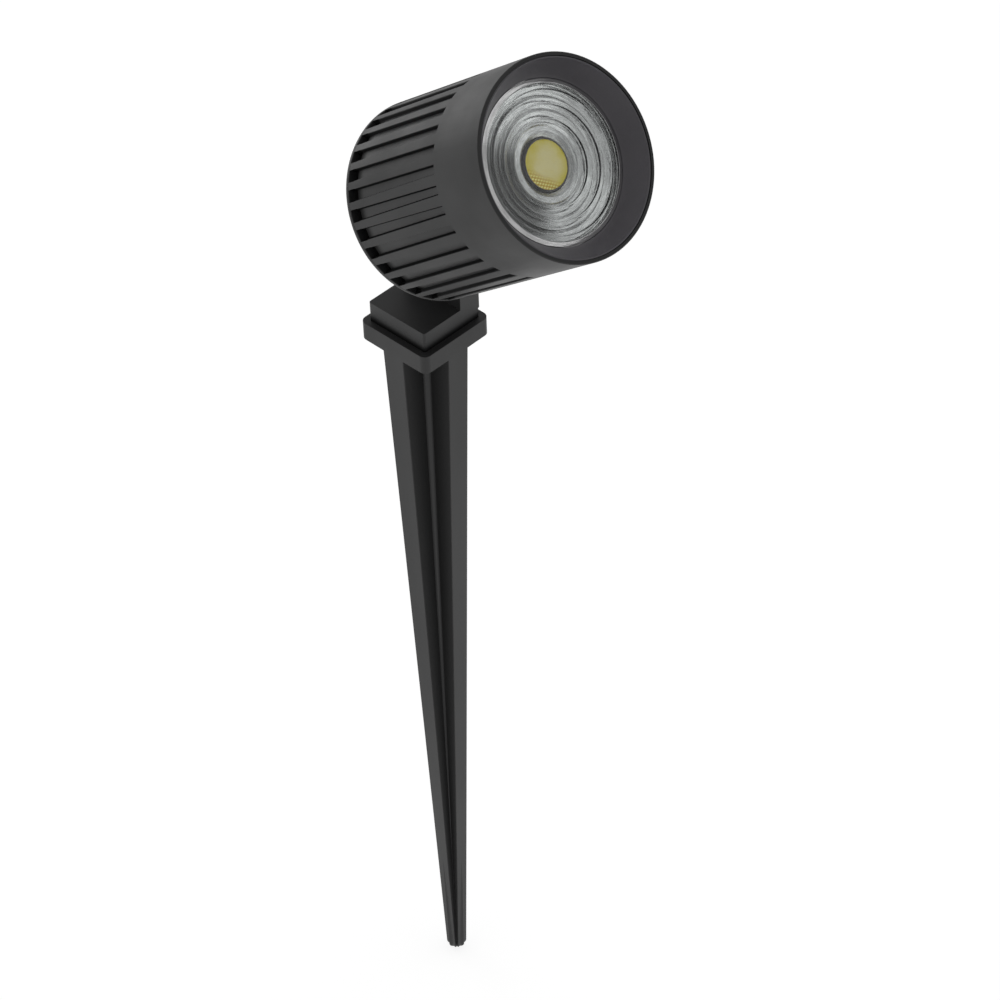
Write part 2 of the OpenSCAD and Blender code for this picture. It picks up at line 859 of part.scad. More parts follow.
// Pair of leads from the driver to the light source
module led_leads() {
    color([0.60, 0.10, 0.08])
        for (x = [-lead_gap / 2, lead_gap / 2])
            translate([x, 0, 0])
                lead();
}

// Gland body: hexagon outside the cover, threaded stem inside, neck under the cap nut
module gland_body() {
    neck_len = gland_cap_len - 3;
    color(moulding)
        translate([0, gland_at, 0])
            difference() {
                union() {
                    translate([0, 0, -gland_hex_t])
                        cylinder(d = gland_flats / cos(30), h = gland_hex_t, $fn = 6);
                    cylinder(d = gland_stem_d, h = plug_z + gland_locknut_t + 0.6, $fn = 64);
                    translate([0, 0, -gland_hex_t - neck_len])
                        cylinder(r = gland_neck_r, h = neck_len + over);
                }
                translate([0, 0, -gland_hex_t - gland_cap_len])
                    cylinder(r = gland_bore_r, h = gland_cap_len + 4 * gland_stem_d, $fn = 64);
                translate([0, 0, -gland_hex_t - gland_cap_len])
                    cylinder(r = seal_r + fit, h = gland_cap_len, $fn = 64);
            }
}

// Lock nut on the gland's stem, inside the cover
module gland_locknut() {
    color(moulding)
        translate([0, gland_at, plug_z])
            hex_nut(gland_flats, gland_stem_d + 2 * snug, gland_locknut_t);
}

// Rubber seal that grips the mains cable
module gland_seal() {
    color([0.06, 0.06, 0.06])
        translate([0, gland_at, -seal_back])
            ring(seal_r, cable_d / 2, seal_back - gland_hex_t);
}

// Cap nut of the gland: ribbed sides and a rounded end with a hole for the cable
module gland_nut() {
    cap_z = -gland_hex_t - gland_cap_len;
    dome = 1.5;
    color(moulding)
        translate([0, gland_at, 0])
            difference() {
                rotate_extrude()
                    difference() {
                        union() {
                            translate([0, cap_z + dome])
                                square([gland_cap_r, gland_cap_len - dome - slide]);
                            translate([0, cap_z])
                                square([gland_cap_r - dome, dome + over]);
                            translate([gland_cap_r - dome, cap_z + dome])
                                circle(r = dome, $fn = 48);
                        }
                        translate([0, cap_z - over])
                            square([cable_d / 2 + 0.3, gland_cap_len + 2 * over]);
                        translate([0, -seal_back - 0.05])
                            square([gland_neck_r + snug, gland_cap_len + over]);
                    }
                for (turn = [0:20:340])
                    rotate(turn)
                        translate([gland_cap_r + 0.15, 0, cap_z + dome + 0.6])
                            cylinder(r = 0.45, h = gland_cap_len, $fn = 24);
            }
}

spike();
bracket();
bracket_screws();
hinge_bolt();
hinge_washers();
hinge_nut();
friction_washer();
lamp() housing();
lamp() rear_cover();
lamp() rear_seal();
lamp() cover_screws();
lamp() bezel_ring();
lamp() lens();
lamp() front_gasket();
lamp() reflector();
lamp() cob_board();
lamp() cob_phosphor();
lamp() cob_holder();
lamp() holder_screws();
lamp() thermal_pad();
lamp() driver_board();
lamp() driver_transformer();
lamp() driver_capacitor();
lamp() driver_terminal();
lamp() driver_spacers();
lamp() driver_screws();
lamp() led_leads();
lamp() gland_body();
lamp() gland_locknut();
lamp() gland_seal();
lamp() gland_nut();
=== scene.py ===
import json
import math

import bmesh
import bpy
from bpy.props import FloatProperty, FloatVectorProperty, IntProperty, PointerProperty
from mathutils import Matrix, Vector


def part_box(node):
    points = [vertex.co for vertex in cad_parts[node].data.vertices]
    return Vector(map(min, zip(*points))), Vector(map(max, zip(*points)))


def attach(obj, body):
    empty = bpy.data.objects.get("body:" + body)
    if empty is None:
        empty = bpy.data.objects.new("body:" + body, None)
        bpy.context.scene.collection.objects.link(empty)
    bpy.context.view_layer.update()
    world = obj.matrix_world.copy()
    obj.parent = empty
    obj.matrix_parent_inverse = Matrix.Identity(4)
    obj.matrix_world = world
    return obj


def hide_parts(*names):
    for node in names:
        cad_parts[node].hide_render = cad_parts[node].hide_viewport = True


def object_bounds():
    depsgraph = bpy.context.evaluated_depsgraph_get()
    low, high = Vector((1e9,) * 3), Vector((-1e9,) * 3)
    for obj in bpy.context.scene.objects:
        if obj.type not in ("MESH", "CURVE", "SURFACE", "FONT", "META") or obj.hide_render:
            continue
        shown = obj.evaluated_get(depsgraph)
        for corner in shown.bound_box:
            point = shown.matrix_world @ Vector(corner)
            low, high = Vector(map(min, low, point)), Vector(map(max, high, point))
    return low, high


bl_info = {
    "name": "Garden Spot Lamp on a Stake",
    "version": (1, 0, 0),
    "blender": (4, 5, 0),
    "location": "3D View > Sidebar > Spot Lamp",
    "description": "Dresses the packed lamp: castings, optics, screws, driver, cable gland and stage",
    "category": "Object",
}

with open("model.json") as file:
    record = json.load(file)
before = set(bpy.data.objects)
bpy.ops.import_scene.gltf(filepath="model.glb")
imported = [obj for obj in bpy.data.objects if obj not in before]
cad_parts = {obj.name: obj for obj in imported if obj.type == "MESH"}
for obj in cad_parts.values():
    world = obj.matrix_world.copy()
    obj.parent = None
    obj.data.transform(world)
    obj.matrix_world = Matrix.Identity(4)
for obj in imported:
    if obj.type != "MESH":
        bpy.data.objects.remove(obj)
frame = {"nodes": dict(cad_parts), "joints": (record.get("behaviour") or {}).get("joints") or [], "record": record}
cad_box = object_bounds()

# Sizes that pieces share, in millimetres. MM turns them into metres.

MM = 0.001
CLEARANCE = 0.1
SCREW_D = 3.0
SCREW_HEAD_D = 1.85 * SCREW_D
SCREW_HEAD_H = 0.66 * SCREW_D
LENS_FLANGE = 2.1  # width of the lens's flange, which the bezel holds down
LENS_SEAT = 1.2  # depth of that flange below the top of the lens
REFLECTOR_CUP = 2.15  # width of the reflector's cup round the gel
GROOVE_DEPTH = 1.04  # depth at which the walls of the housing's grooves meet their floors
POCKET_LENGTH = 3.4  # length of the pockets at the back ends of the grooves
STREAK_RADIUS = 24.0  # distance from the lamp's axis where streaks have the length asked for
SHADED_FILM_SIDE = (-0.99, -0.12, 0)  # direction from the lamp's axis in which the reflector carries painted shade
THIN_GEL_SIDE = (-0.72, -0.69, 0)  # direction in which the gel thins, so that dies show through
DIE_PITCH = (1.5, 1.1)  # width and height after which the pattern of dies repeats


# Axes of the lamp, the hinge and the stake. Parts are modelled in millimetres and placed by these.

def lamp_axes():
    """Z along the lamp to its front, X across, and zero height level with the hinge."""
    inlet = next(m for m in frame["record"]["mounts"] if m["name"] == "cable_inlet")
    front = -Vector(inlet["axis"])
    across = Vector((1, 0, 0))
    up = front.cross(across)
    hinge = Vector(frame["joints"][0]["pos_m"])
    low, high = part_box("front_gasket")
    origin = hinge + up * ((low + high) / 2 - hinge).dot(up)
    return Matrix.LocRotScale(origin, Matrix((across, up, front)).transposed(), (MM, MM, MM))


def hinge_axes():
    """Z along the hinge bolt, out through the bracket's ear."""
    turn = Matrix.Rotation(math.pi / 2, 3, "Y")
    return Matrix.LocRotScale(Vector(frame["joints"][0]["pos_m"]), turn, (MM, MM, MM))


LAMP = lamp_axes()
HINGE = hinge_axes()
STAKE = Matrix.Scale(MM, 4)
UPSIDE_DOWN = Matrix.Rotation(math.pi, 4, "X")


def span(node, axes=LAMP):
    """Lowest and highest corner of a CAD node in millimetres, along the given axes."""
    back = axes.inverted()
    points = [back @ v.co for v in frame["nodes"][node].data.vertices]
    return Vector(map(min, zip(*points))), Vector(map(max, zip(*points)))


def mm(length):
    """A length of the panel in millimetres."""
    return length / MM


def lifted(height):
    """Place at a height on the Z axis."""
    return Matrix.Translation((0, 0, height))


# Sizes and colours that a user may change

class SPOTLAMP_PG_castings(bpy.types.PropertyGroup):
    coat: FloatVectorProperty(name="Powder coat", description="Colour of the cast parts",
        default=(0.0205, 0.0207, 0.0211), subtype="COLOR", min=0, max=1)
    bezel: FloatVectorProperty(name="Bezel", description="Colour of the bezel's satin coat",
        default=(0.098, 0.093, 0.103), subtype="COLOR", min=0, max=1)
    moulding: FloatVectorProperty(name="Spike plastic", description="Colour of the moulded spike",
        default=(0.0225, 0.0226, 0.0229), subtype="COLOR", min=0, max=1)
    edge: FloatProperty(name="Edge radius", description="Rounding of cast and moulded edges",
        default=0.00028, unit="LENGTH", precision=5, min=0.0001, max=0.0006)
    gloss: FloatProperty(name="Coat roughness", description="Roughness of the powder coat",
        default=0.46, min=0.1, max=1)


class SPOTLAMP_PG_optics(bpy.types.PropertyGroup):
    lens_edge: FloatProperty(name="Outer ring", description="Width of the lens's outer ring",
        default=0.003, unit="LENGTH", precision=5, min=0.002, max=0.004)
    step_width: FloatProperty(name="Step width", description="Width of each step of the lens",
        default=0.00405, unit="LENGTH", precision=5, min=0.003, max=0.0045)
    step_height: FloatProperty(name="Step height", description="Height of each step of the lens",
        default=0.00075, unit="LENGTH", precision=5, min=0.0004, max=0.0008)
    hollow: FloatProperty(name="Hollow", description="Depth of the hollow behind the lens",
        default=0.0005, unit="LENGTH", precision=5, min=0.0, max=0.0008)
    steps: IntProperty(name="Steps", description="Number of steps down to the middle of the lens",
        default=3, min=2, max=4)
    bands: IntProperty(name="Bands", description="Number of dished bands on the reflector",
        default=3, min=1, max=6)
    glass: FloatVectorProperty(name="Lens tint", description="Colour of the clear lens",
        default=(0.94, 0.96, 0.955), subtype="COLOR", min=0, max=1)
    metal: FloatVectorProperty(name="Reflector", description="Colour of the reflector's metal film",
        default=(0.77, 0.77, 0.77), subtype="COLOR", min=0, max=1)
    phosphor: FloatVectorProperty(name="Phosphor", description="Colour of the light source's gel",
        default=(0.90, 0.80, 0.38), subtype="COLOR", min=0, max=1)
    # Painted glow: a faint emission that brightens the phosphor gel.
    glow: FloatProperty(name="Glow", description="Faint painted glow that brightens the phosphor",
        default=0.10, min=0, max=5)


class SPOTLAMP_PG_hardware(bpy.types.PropertyGroup):
    hinge_pitch: FloatProperty(name="Hinge thread", description="Pitch of the hinge bolt's thread",
        default=0.0008, unit="LENGTH", precision=5, min=0.0005, max=0.001)
    screw_pitch: FloatProperty(name="Screw thread", description="Pitch of the small screws",
        default=0.0005, unit="LENGTH", precision=5, min=0.0004, max=0.0008)
    steel: FloatVectorProperty(name="Steel", description="Colour of the stainless screws",
        default=(0.55, 0.55, 0.56), subtype="COLOR", min=0, max=1)


class SPOTLAMP_PG_stage(bpy.types.PropertyGroup):
    focal: FloatProperty(name="Focal length", description="Focal length of the camera in mm",
        default=126.0, min=35, max=200)
    azimuth: FloatProperty(name="Azimuth", description="Camera's turn about the stake",
        default=math.radians(-44.9102), subtype="ANGLE")
    elevation: FloatProperty(name="Elevation", description="Camera's height angle",
        default=math.radians(41.8047), subtype="ANGLE")
    roll: FloatProperty(name="Roll", description="Camera's roll",
        default=math.radians(-1.9972), subtype="ANGLE")
    distance: FloatProperty(name="Distance", description="Distance from camera to aim",
        default=1.06248, unit="LENGTH", precision=4)
    aim: FloatVectorProperty(name="Aim", description="Point at the middle of the view",
        default=(-0.011521, -0.04123, -0.035348), unit="LENGTH", precision=4, subtype="XYZ")
    sides: FloatProperty(name="Side softboxes", description="Power of the side lights in watts",
        default=0.10, min=0, max=50)
    top: FloatProperty(name="Top softbox", description="Power of the top light in watts",
        default=0.5, min=0, max=50)
    back: FloatProperty(name="Back softbox", description="Power of the light behind in watts",
        default=0.55, min=0, max=50)
    overhead: FloatVectorProperty(name="Top place", description="Place of the top light",
        default=(0.50, -0.38, 0.78), unit="LENGTH", precision=3, subtype="XYZ")
    behind: FloatVectorProperty(name="Back place", description="Place of the light behind",
        default=(0.02, 0.86, 0.10), unit="LENGTH", precision=3, subtype="XYZ")
    horizon: FloatProperty(name="Horizon", description="Brightness of the studio wall at the horizon",
        default=0.52, min=0, max=1)
    ceiling: FloatProperty(name="Ceiling", description="Brightness of the studio overhead",
        default=0.48, min=0, max=1)
    floor: FloatProperty(name="Floor", description="Brightness of the matt floor",
        default=0.40, min=0, max=1)
    backdrop: FloatProperty(name="Backdrop", description="Lift that shows the floor as white",
        default=0.80, min=0, max=1)
    mirrored: FloatProperty(name="Mirrored floor", description="The same lift in gloss and glass",
        default=0.64, min=0, max=1)


GROUPS = {"spotlamp_castings": SPOTLAMP_PG_castings, "spotlamp_optics": SPOTLAMP_PG_optics,
    "spotlamp_hardware": SPOTLAMP_PG_hardware, "spotlamp_stage": SPOTLAMP_PG_stage}


# Modelling

def bend_corners(bm, corners, size, segments=3):
    """Rounds the corners of a flat section."""
    bmesh.ops.bevel(bm, geom=corners, offset=size, affect="VERTICES", segments=segments,
        profile=0.5, material=-1, clamp_overlap=True)


def turned(section, steps, closed=True):
    """Part turned round Z. Each point of its section is (radius, height) or (radius, height, rounding)."""
    bm = bmesh.new()
    points = [bm.verts.new((p[0], 0, p[1])) for p in section]
    bm.faces.new(points)
    if not closed:
        bm.edges.remove(bm.edges.get((points[0], points[-1])))
    for size in sorted({p[2] for p in section if len(p) > 2}):
        bend_corners(bm, [v for v, p in zip(points, section) if p[2:] == (size,)], size)
    bmesh.ops.delete(bm, geom=bm.faces[:], context="FACES_ONLY")
    core = [e for e in bm.edges if all(v.co.x < 1e-6 for v in e.verts)]
    bmesh.ops.delete(bm, geom=core, context="EDGES")
    bmesh.ops.spin(bm, geom=bm.verts[:] + bm.edges[:], cent=(0, 0, 0), axis=(0, 0, 1),
        angle=math.tau, steps=steps, use_merge=True)
    bmesh.ops.remove_doubles(bm, verts=bm.verts, dist=1e-5)
    bmesh.ops.recalc_face_normals(bm, faces=bm.faces)
    return bm


def flat_ring(inner, outer, low, high, inside, outside, steps):
    """Ring between two radii and two heights, with its edges rounded inside and outside."""
    return turned([(inner, low, inside), (outer, low, outside), (outer, high, outside),
        (inner, high, inside)], steps)


def verts_of(geom):
    """The vertices among what an operator gives back."""
    return [g for g in geom if isinstance(g, bmesh.types.BMVert)]


def carry(bm, edges, place):
    """Draws a ring of edges out to new places, and gives the new ring."""
    made = bmesh.ops.extrude_edge_only(bm, edges=edges)["geom"]
    for v in verts_of(made):
        v.co = place(v.co)
    return [g for g in made if isinstance(g, bmesh.types.BMEdge)]


def plate(low, high, thickness, corner, edge):
    """Flat plate between two corners, drawn up along Z, with round corners and softened rims."""
    bm = bmesh.new()
    outline = ((low[0], low[1]), (high[0], low[1]), (high[0], high[1]), (low[0], high[1]))
    bm.faces.new([bm.verts.new((x, y, 0)) for x, y in outline])
    bend_corners(bm, bm.verts[:], corner, segments=4)
    top = verts_of(bmesh.ops.extrude_face_region(bm, geom=bm.faces[:])["geom"])
    bmesh.ops.translate(bm, vec=(0, 0, thickness), verts=top)
    bmesh.ops.recalc_face_normals(bm, faces=bm.faces)
    rims = [e for e in bm.edges if abs(e.verts[0].co.z - e.verts[1].co.z) < 1e-6]
    bmesh.ops.bevel(bm, geom=rims, offset=edge, affect="EDGES", segments=2,
        profile=0.5, material=-1, clamp_overlap=True)
    return bm


def hexagon(bm, flats, height):
    """Ring of edges round a hexagon, cut finely enough to bridge to a circle."""
    made = bmesh.ops.create_circle(bm, cap_ends=False, radius=flats / math.sqrt(3), segments=6,
        matrix=lifted(height))
    edges = list({e for v in made["verts"] for e in v.link_edges})
    bmesh.ops.subdivide_edges(bm, edges=edges, cuts=7)
    return [e for e in bm.edges if not e.link_faces
        and all(abs(v.co.z - height) < 1e-6 for v in e.verts)]


def socket_screw(d, length, head_d, head_h, pitch=None):
    """Screw pointing down from a round head with a hexagon socket, with a plain shank if it has no pitch."""
    key = 0.50 * head_d
    mouth = 0.66 * key
    edge = 0.07 * head_d
    root = 0.42 * d
    shank = [(d / 2, 0)]
    for i in range(int(length / pitch) - 2 if pitch else 0):
        low = -pitch * (i + 1.5)
        shank += [(root, low - 0.1 * pitch), (d / 2, low - 0.5 * pitch), (d / 2, low - 0.6 * pitch)]
    section = [(mouth, head_h), (head_d / 2, head_h, edge), (head_d / 2, 0, edge / 3),
        *shank, (root, -length), (0, -length)]
    bm = turned(section, 48, closed=False)
    rim = [e for e in bm.edges if e.is_boundary]
    key_ring = hexagon(bm, key, head_h)
    bmesh.ops.bridge_loops(bm, edges=rim + key_ring)
    floor = carry(bm, key_ring, lambda co: Vector((co.x, co.y, 0.42 * head_h)))
    bmesh.ops.edgeloop_fill(bm, edges=floor)
    bmesh.ops.recalc_face_normals(bm, faces=bm.faces)
    return bm


def thread(d, pitch, low, high, steps=32):
    """Rod with a real screw thread between two heights, cut flat at both ends."""
    bm = bmesh.new()
    root = d / 2 - 0.54 * pitch
    points = [(root, 0), (d / 2, 0.44 * pitch), (d / 2, 0.56 * pitch), (root, pitch)]
    ring = [bm.verts.new((r, 0, low - pitch + z)) for r, z in points]
    for a, b in zip(ring, ring[1:]):
        bm.edges.new((a, b))
    turns = math.ceil((high - low) / pitch) + 1
    bmesh.ops.spin(bm, geom=bm.verts[:] + bm.edges[:], cent=(0, 0, 0), axis=(0, 0, 1),
        dvec=(0, 0, pitch / steps), angle=math.tau * turns, steps=steps * turns)
    bmesh.ops.remove_doubles(bm, verts=bm.verts, dist=1e-4)
    for height, way in ((low, -1), (high, 1)):
        cut = bmesh.ops.bisect_plane(bm, geom=bm.verts[:] + bm.edges[:] + bm.faces[:],
            plane_co=(0, 0, height), plane_no=(0, 0, way), clear_outer=True)
        bmesh.ops.remove_doubles(bm, verts=verts_of(cut["geom_cut"]), dist=1e-3)
        rim = [e for e in bm.edges if e.is_boundary and abs(e.verts[0].co.z - height) < 1e-4]
        bmesh.ops.holes_fill(bm, edges=rim)
    bmesh.ops.recalc_face_normals(bm, faces=bm.faces)
    return bm


def collared_nut(flats, height, hole, collar_r, collar_h):
    """Hexagon nut from zero up, with chamfered corners and a round collar on top."""
    bm = bmesh.new()
    crown = 0.48 * flats
    slope = 0.58

    def chamfered(co, level, way):
        beyond = max(0.0, co.xy.length - crown)
        return Vector((co.x, co.y, level + way * slope * beyond))

    def on_circle(co, radius, level):
        return (co.xy.normalized() * radius).to_3d() + Vector((0, 0, level))

    low = hexagon(bm, flats, 0)
    for v in {v for e in low for v in e.verts}:
        v.co = chamfered(v.co, 0, 1)
    high = carry(bm, low, lambda co: chamfered(co, height, -1))
    for radius in (crown, hole):
        low = carry(bm, low, lambda co: on_circle(co, radius, 0))
    for radius, level in ((crown, height), (collar_r, height), (collar_r, collar_h - 0.3),
            (0.9 * collar_r, collar_h), (hole, collar_h)):
        high = carry(bm, high, lambda co: on_circle(co, radius, level))
    bmesh.ops.bridge_loops(bm, edges=low + high)
    bmesh.ops.recalc_face_normals(bm, faces=bm.faces)
    return bm


def add_part(bm, part, axes, material=0):
    """Adds a finished part to a piece, in place, with one of the piece's materials."""
    for face in part.faces:
        face.material_index = material
    part.transform(axes)
    mesh = bpy.data.meshes.new("part")
    part.to_mesh(mesh)
    part.free()
    bm.from_mesh(mesh)
    bpy.data.meshes.remove(mesh)


def finish_piece(name, bm, body, nodes, slot, *materials, sharp=35):
    """Makes the object of a new piece, lets it ride on its body and take the place of CAD nodes."""
    mesh = bpy.data.meshes.new(name)
    bm.to_mesh(mesh)
    bm.free()
    mesh.polygons.foreach_set("use_smooth", [True] * len(mesh.polygons))
    mesh.set_sharp_from_angle(angle=math.radians(sharp))
    for material in materials:
        mesh.materials.append(material)
    piece = bpy.data.objects.new(name, mesh)
    bpy.context.scene.collection.objects.link(piece)
    shade = piece.modifiers.new("Shading", "WEIGHTED_NORMAL")
    shade.keep_sharp = True
    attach(piece, body)
    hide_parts(*nodes)


def screw_set(name, body, node, axes, corners):
    """Socket screws in place of a CAD node, one at each corner, with their heads at the low end."""
    low, high = span(node, axes)
    length = high.z - low.z - SCREW_HEAD_H
    pitch = mm(bpy.context.scene.spotlamp_hardware.screw_pitch)
    bm = bmesh.new()
    for corner in corners:
        screw = socket_screw(SCREW_D, length, SCREW_HEAD_D, SCREW_HEAD_H, pitch)
        add_part(bm, screw, axes @ corner @ lifted(low.z + SCREW_HEAD_H) @ UPSIDE_DOWN)
    finish_piece(name, bm, body, [node], "steel", steel_finish())


def dress_node(node, material, edge=0.0):
    """Gives a CAD node its finish and, where asked, edges softened by a width in metres."""
    solid = frame["nodes"][node]
    solid.data.materials.clear()
    solid.data.materials.append(material)
    weld = solid.modifiers.new("Weld", "WELD")
    weld.merge_threshold = 2e-6
    if not edge:
        return
    solid.data.polygons.foreach_set("use_smooth", [True] * len(solid.data.polygons))
    flat = solid.modifiers.new("Flat faces", "DECIMATE")
    flat.decimate_type = "DISSOLVE"
    flat.angle_limit = math.radians(0.5)
    soft = solid.modifiers.new("Soft edges", "BEVEL")
    soft.width = edge
    soft.segments = 2
    soft.limit_method = "ANGLE"
    soft.angle_limit = math.radians(28)
    shade = solid.modifiers.new("Shading", "WEIGHTED_NORMAL")
    shade.keep_sharp = False
    shade.weight = 80


# Finishes

# Plain finishes. Grain, depth and patches are in millimetres.
STOCK = {
    "nylon": dict(colour=(0.72, 0.71, 0.66), roughness=0.40, grain=0.30, depth=0.010, variation=0.05,
        patches=4.0),
    "black_rubber": dict(colour=(0.025, 0.025, 0.026), roughness=0.62, grain=0.20, depth=0.010,
        variation=0.15, patches=3.0),
    "grey_silicone": dict(colour=(0.42, 0.43, 0.45), roughness=0.55, grain=0.25, depth=0.010,
        variation=0.06, patches=4.0),
    "white_ceramic": dict(colour=(0.80, 0.80, 0.76), roughness=0.35, grain=0.20, depth=0.004,
        variation=0.04, patches=4.0),
    "gold_pads": dict(colour=(0.80, 0.58, 0.25), roughness=0.30, grain=0.15, depth=0.004,
        variation=0.06, patches=1.0, metallic=1.0),
    # Dark silicone dam round the gel; its dark colour also stands in for the shadow in the gap round the gel, as
    # painted shade.
    "dam_with_painted_shade": dict(colour=(0.060, 0.052, 0.062), roughness=0.35, grain=0.20, depth=0.006,
        variation=0.10, patches=1.5),
    "white_plastic": dict(colour=(0.78, 0.78, 0.75), roughness=0.38, grain=0.30, depth=0.006,
        variation=0.04, patches=6.0),
    "thermal_pad": dict(colour=(0.40, 0.45, 0.55), roughness=0.70, grain=0.15, depth=0.010,
        variation=0.08, patches=2.0),
    "solder_mask": dict(colour=(0.03, 0.20, 0.09), roughness=0.32, grain=0.50, depth=0.020,
        variation=0.18, patches=1.6),
    "yellow_tape": dict(colour=(0.62, 0.42, 0.04), roughness=0.42, grain=0.50, depth=0.020,
        variation=0.12, patches=3.0),
    "dark_sleeve": dict(colour=(0.03, 0.035, 0.07), roughness=0.25, grain=0.40, depth=0.010,
        variation=0.08, patches=3.0),
    "brass": dict(colour=(0.64, 0.46, 0.18), roughness=0.28, grain=0.12, depth=0.004,
        variation=0.08, patches=2.0, metallic=1.0),
    "red_wire": dict(colour=(0.45, 0.03, 0.025), roughness=0.36, grain=0.30, depth=0.006,
        variation=0.06, patches=2.0),
    "black_nylon": dict(colour=(0.030, 0.030, 0.031), roughness=0.42, grain=0.30, depth=0.010,
        variation=0.10, patches=3.0),
    "gland_rubber": dict(colour=(0.022, 0.022, 0.023), roughness=0.60, grain=0.20, depth=0.010,
        variation=0.12, patches=3.0),
}


def put(tree, kind, inputs=None, **settings):
    """Adds a shader node with its settings, and with a value or a link on each named input."""
    made = tree.nodes.new("ShaderNode" + kind)
    for name, value in settings.items():
        setattr(made, name, value)
    for name, value in (inputs or {}).items():
        if isinstance(value, bpy.types.NodeSocket):
            tree.links.new(value, made.inputs[name])
        else:
            made.inputs[name].default_value = value
    return made


def calc(tree, operation, *values, **settings):
    """Result of a calculation on numbers."""
    return put(tree, "Math", dict(enumerate(values)), operation=operation, **settings).outputs[0]


def calc_vector(tree, operation, *values):
    """Result of a calculation on vectors: a number for a length or a dot product, or else a vector."""
    made = put(tree, "VectorMath", dict(enumerate(values)), operation=operation)
    return made.outputs["Value" if operation in ("LENGTH", "DOT_PRODUCT") else "Vector"]


def scaled(tree, vector, amount):
    """A vector or a colour scaled by an amount, which may vary."""
    return put(tree, "VectorMath", {0: vector, "Scale": amount}, operation="SCALE").outputs["Vector"]


def split(tree, vector):
    """The three parts of a vector."""
    return put(tree, "SeparateXYZ", {0: vector}).outputs


def join(tree, x=0.0, y=0.0, z=0.0):
    """A vector from its three parts."""
    return put(tree, "CombineXYZ", {"X": x, "Y": y, "Z": z}).outputs[0]


def blend(tree, share, first, second):
    """Goes from the first colour to the second with a share."""
    return put(tree, "Mix", {0: share, 6: first, 7: second}, data_type="RGBA").outputs[2]


def ramp(tree, value, low, high, start=0.0, end=1.0, shape="LINEAR"):
    """Goes from start to end while a value goes from low to high, and stays there outside them."""
    return put(tree, "MapRange", {"Value": value, "From Min": low, "From Max": high,
        "To Min": start, "To Max": end}, interpolation_type=shape).outputs["Result"]


def within(tree, value, low, high, soft):
    """One between two limits and nothing outside them, with soft ends."""
    up = ramp(tree, value, low - soft, low + soft)
    down = ramp(tree, value, high - soft, high + soft, 1.0, 0.0)
    return calc(tree, "MULTIPLY", up, down)


def noise(tree, where, size, detail=2.0):
    """Noise whose features are about the given size in millimetres."""
    return put(tree, "TexNoise", {"Vector": where, "Scale": 1 / (size * MM),
        "Detail": detail}).outputs["Fac"]


def spread(tree, value, low, high):
    """The middle of a noise stretched between two values."""
    return ramp(tree, value, 0.3, 0.7, low, high)


def start_finish(name):
    """Empty material with an object-coordinate source, and the output to link to."""
    material = bpy.data.materials.new(name)
    material.use_nodes = True
    tree = material.node_tree
    tree.nodes.clear()
    where = put(tree, "TexCoord").outputs["Object"]
    return material, tree, where, put(tree, "OutputMaterial").inputs["Surface"]


def grained(name, colour, roughness, grain, depth, variation, patches, metallic=0.0,
        gloss_spread=0.05, stretch=(1.0, 1.0, 1.0)):
    """Finish with mottled colour, uneven gloss and a fine grain, whose sizes are in millimetres."""
    material, tree, where, surface = start_finish(name)
    where = put(tree, "Mapping", {"Vector": where, "Scale": stretch}).outputs["Vector"]
    broad = noise(tree, where, patches, 3.0)
    fine = noise(tree, where, grain)
    mixed = calc(tree, "MULTIPLY", calc(tree, "ADD", broad, fine), 0.5)
    bump = put(tree, "Bump", {"Height": fine, "Strength": 0.6, "Distance": depth * MM})
    coat = put(tree, "BsdfPrincipled", {
        "Base Color": scaled(tree, tuple(colour), spread(tree, mixed, 1 - variation, 1 + variation)),
        "Roughness": spread(tree, broad, roughness - gloss_spread, roughness + gloss_spread),
        "Metallic": metallic, "Normal": bump.outputs["Normal"]})
    tree.links.new(coat.outputs["BSDF"], surface)
    return material


def stock(name):
    """One of the plain finishes."""
    return grained(name, **STOCK[name])


def steel_finish():
    """Stainless steel with a fine turned grain."""
    return grained("stainless_steel", bpy.context.scene.spotlamp_hardware.steel, roughness=0.30,
        grain=0.12, depth=0.004, variation=0.08, patches=3.0, metallic=1.0, gloss_spread=0.08)


def powder_coat(name="powder_coat"):
    """Matt powder coat of the castings."""
    settings = bpy.context.scene.spotlamp_castings
    return grained(name, settings.coat, roughness=settings.gloss, grain=0.35, depth=0.012,
        variation=0.05, patches=14.0)


def bezel_coat():
    """Satin coat of the bezel."""
    return grained("bezel_coat", bpy.context.scene.spotlamp_castings.bezel, roughness=0.42, grain=0.35,
        depth=0.012, variation=0.07, patches=6.0)


def painted_shade(material, mask, share=1.0):
    """Lays painted shade, a dark matt a quarter as bright as the powder coat, over part of a finish."""
    tree = material.node_tree
    surface = next(n for n in tree.nodes if n.type == "OUTPUT_MATERIAL").inputs["Surface"]
    colour = [0.25 * c for c in bpy.context.scene.spotlamp_castings.coat]
    matt = put(tree, "BsdfDiffuse", {"Color": (*colour, 1)})
    part = calc(tree, "MULTIPLY", mask, share)
    both = put(tree, "MixShader", {0: part, 1: surface.links[0].from_socket, 2: matt.outputs[0]})
    tree.links.new(both.outputs[0], surface)
    return material


def lamp_place(tree, where):
    """Place in the lamp's own axes, in millimetres."""
    rows = LAMP.inverted()[:3]
    turned_to = [calc_vector(tree, "DOT_PRODUCT", where, tuple(row[:3])) for row in rows]
    return join(tree, *[calc(tree, "ADD", value, row[3]) for value, row in zip(turned_to, rows)])


def from_axis(tree, place):
    """Direction and distance of a place from the lamp's axis, as one vector square to the axis."""
    return calc_vector(tree, "MULTIPLY", place, (1, 1, 0))


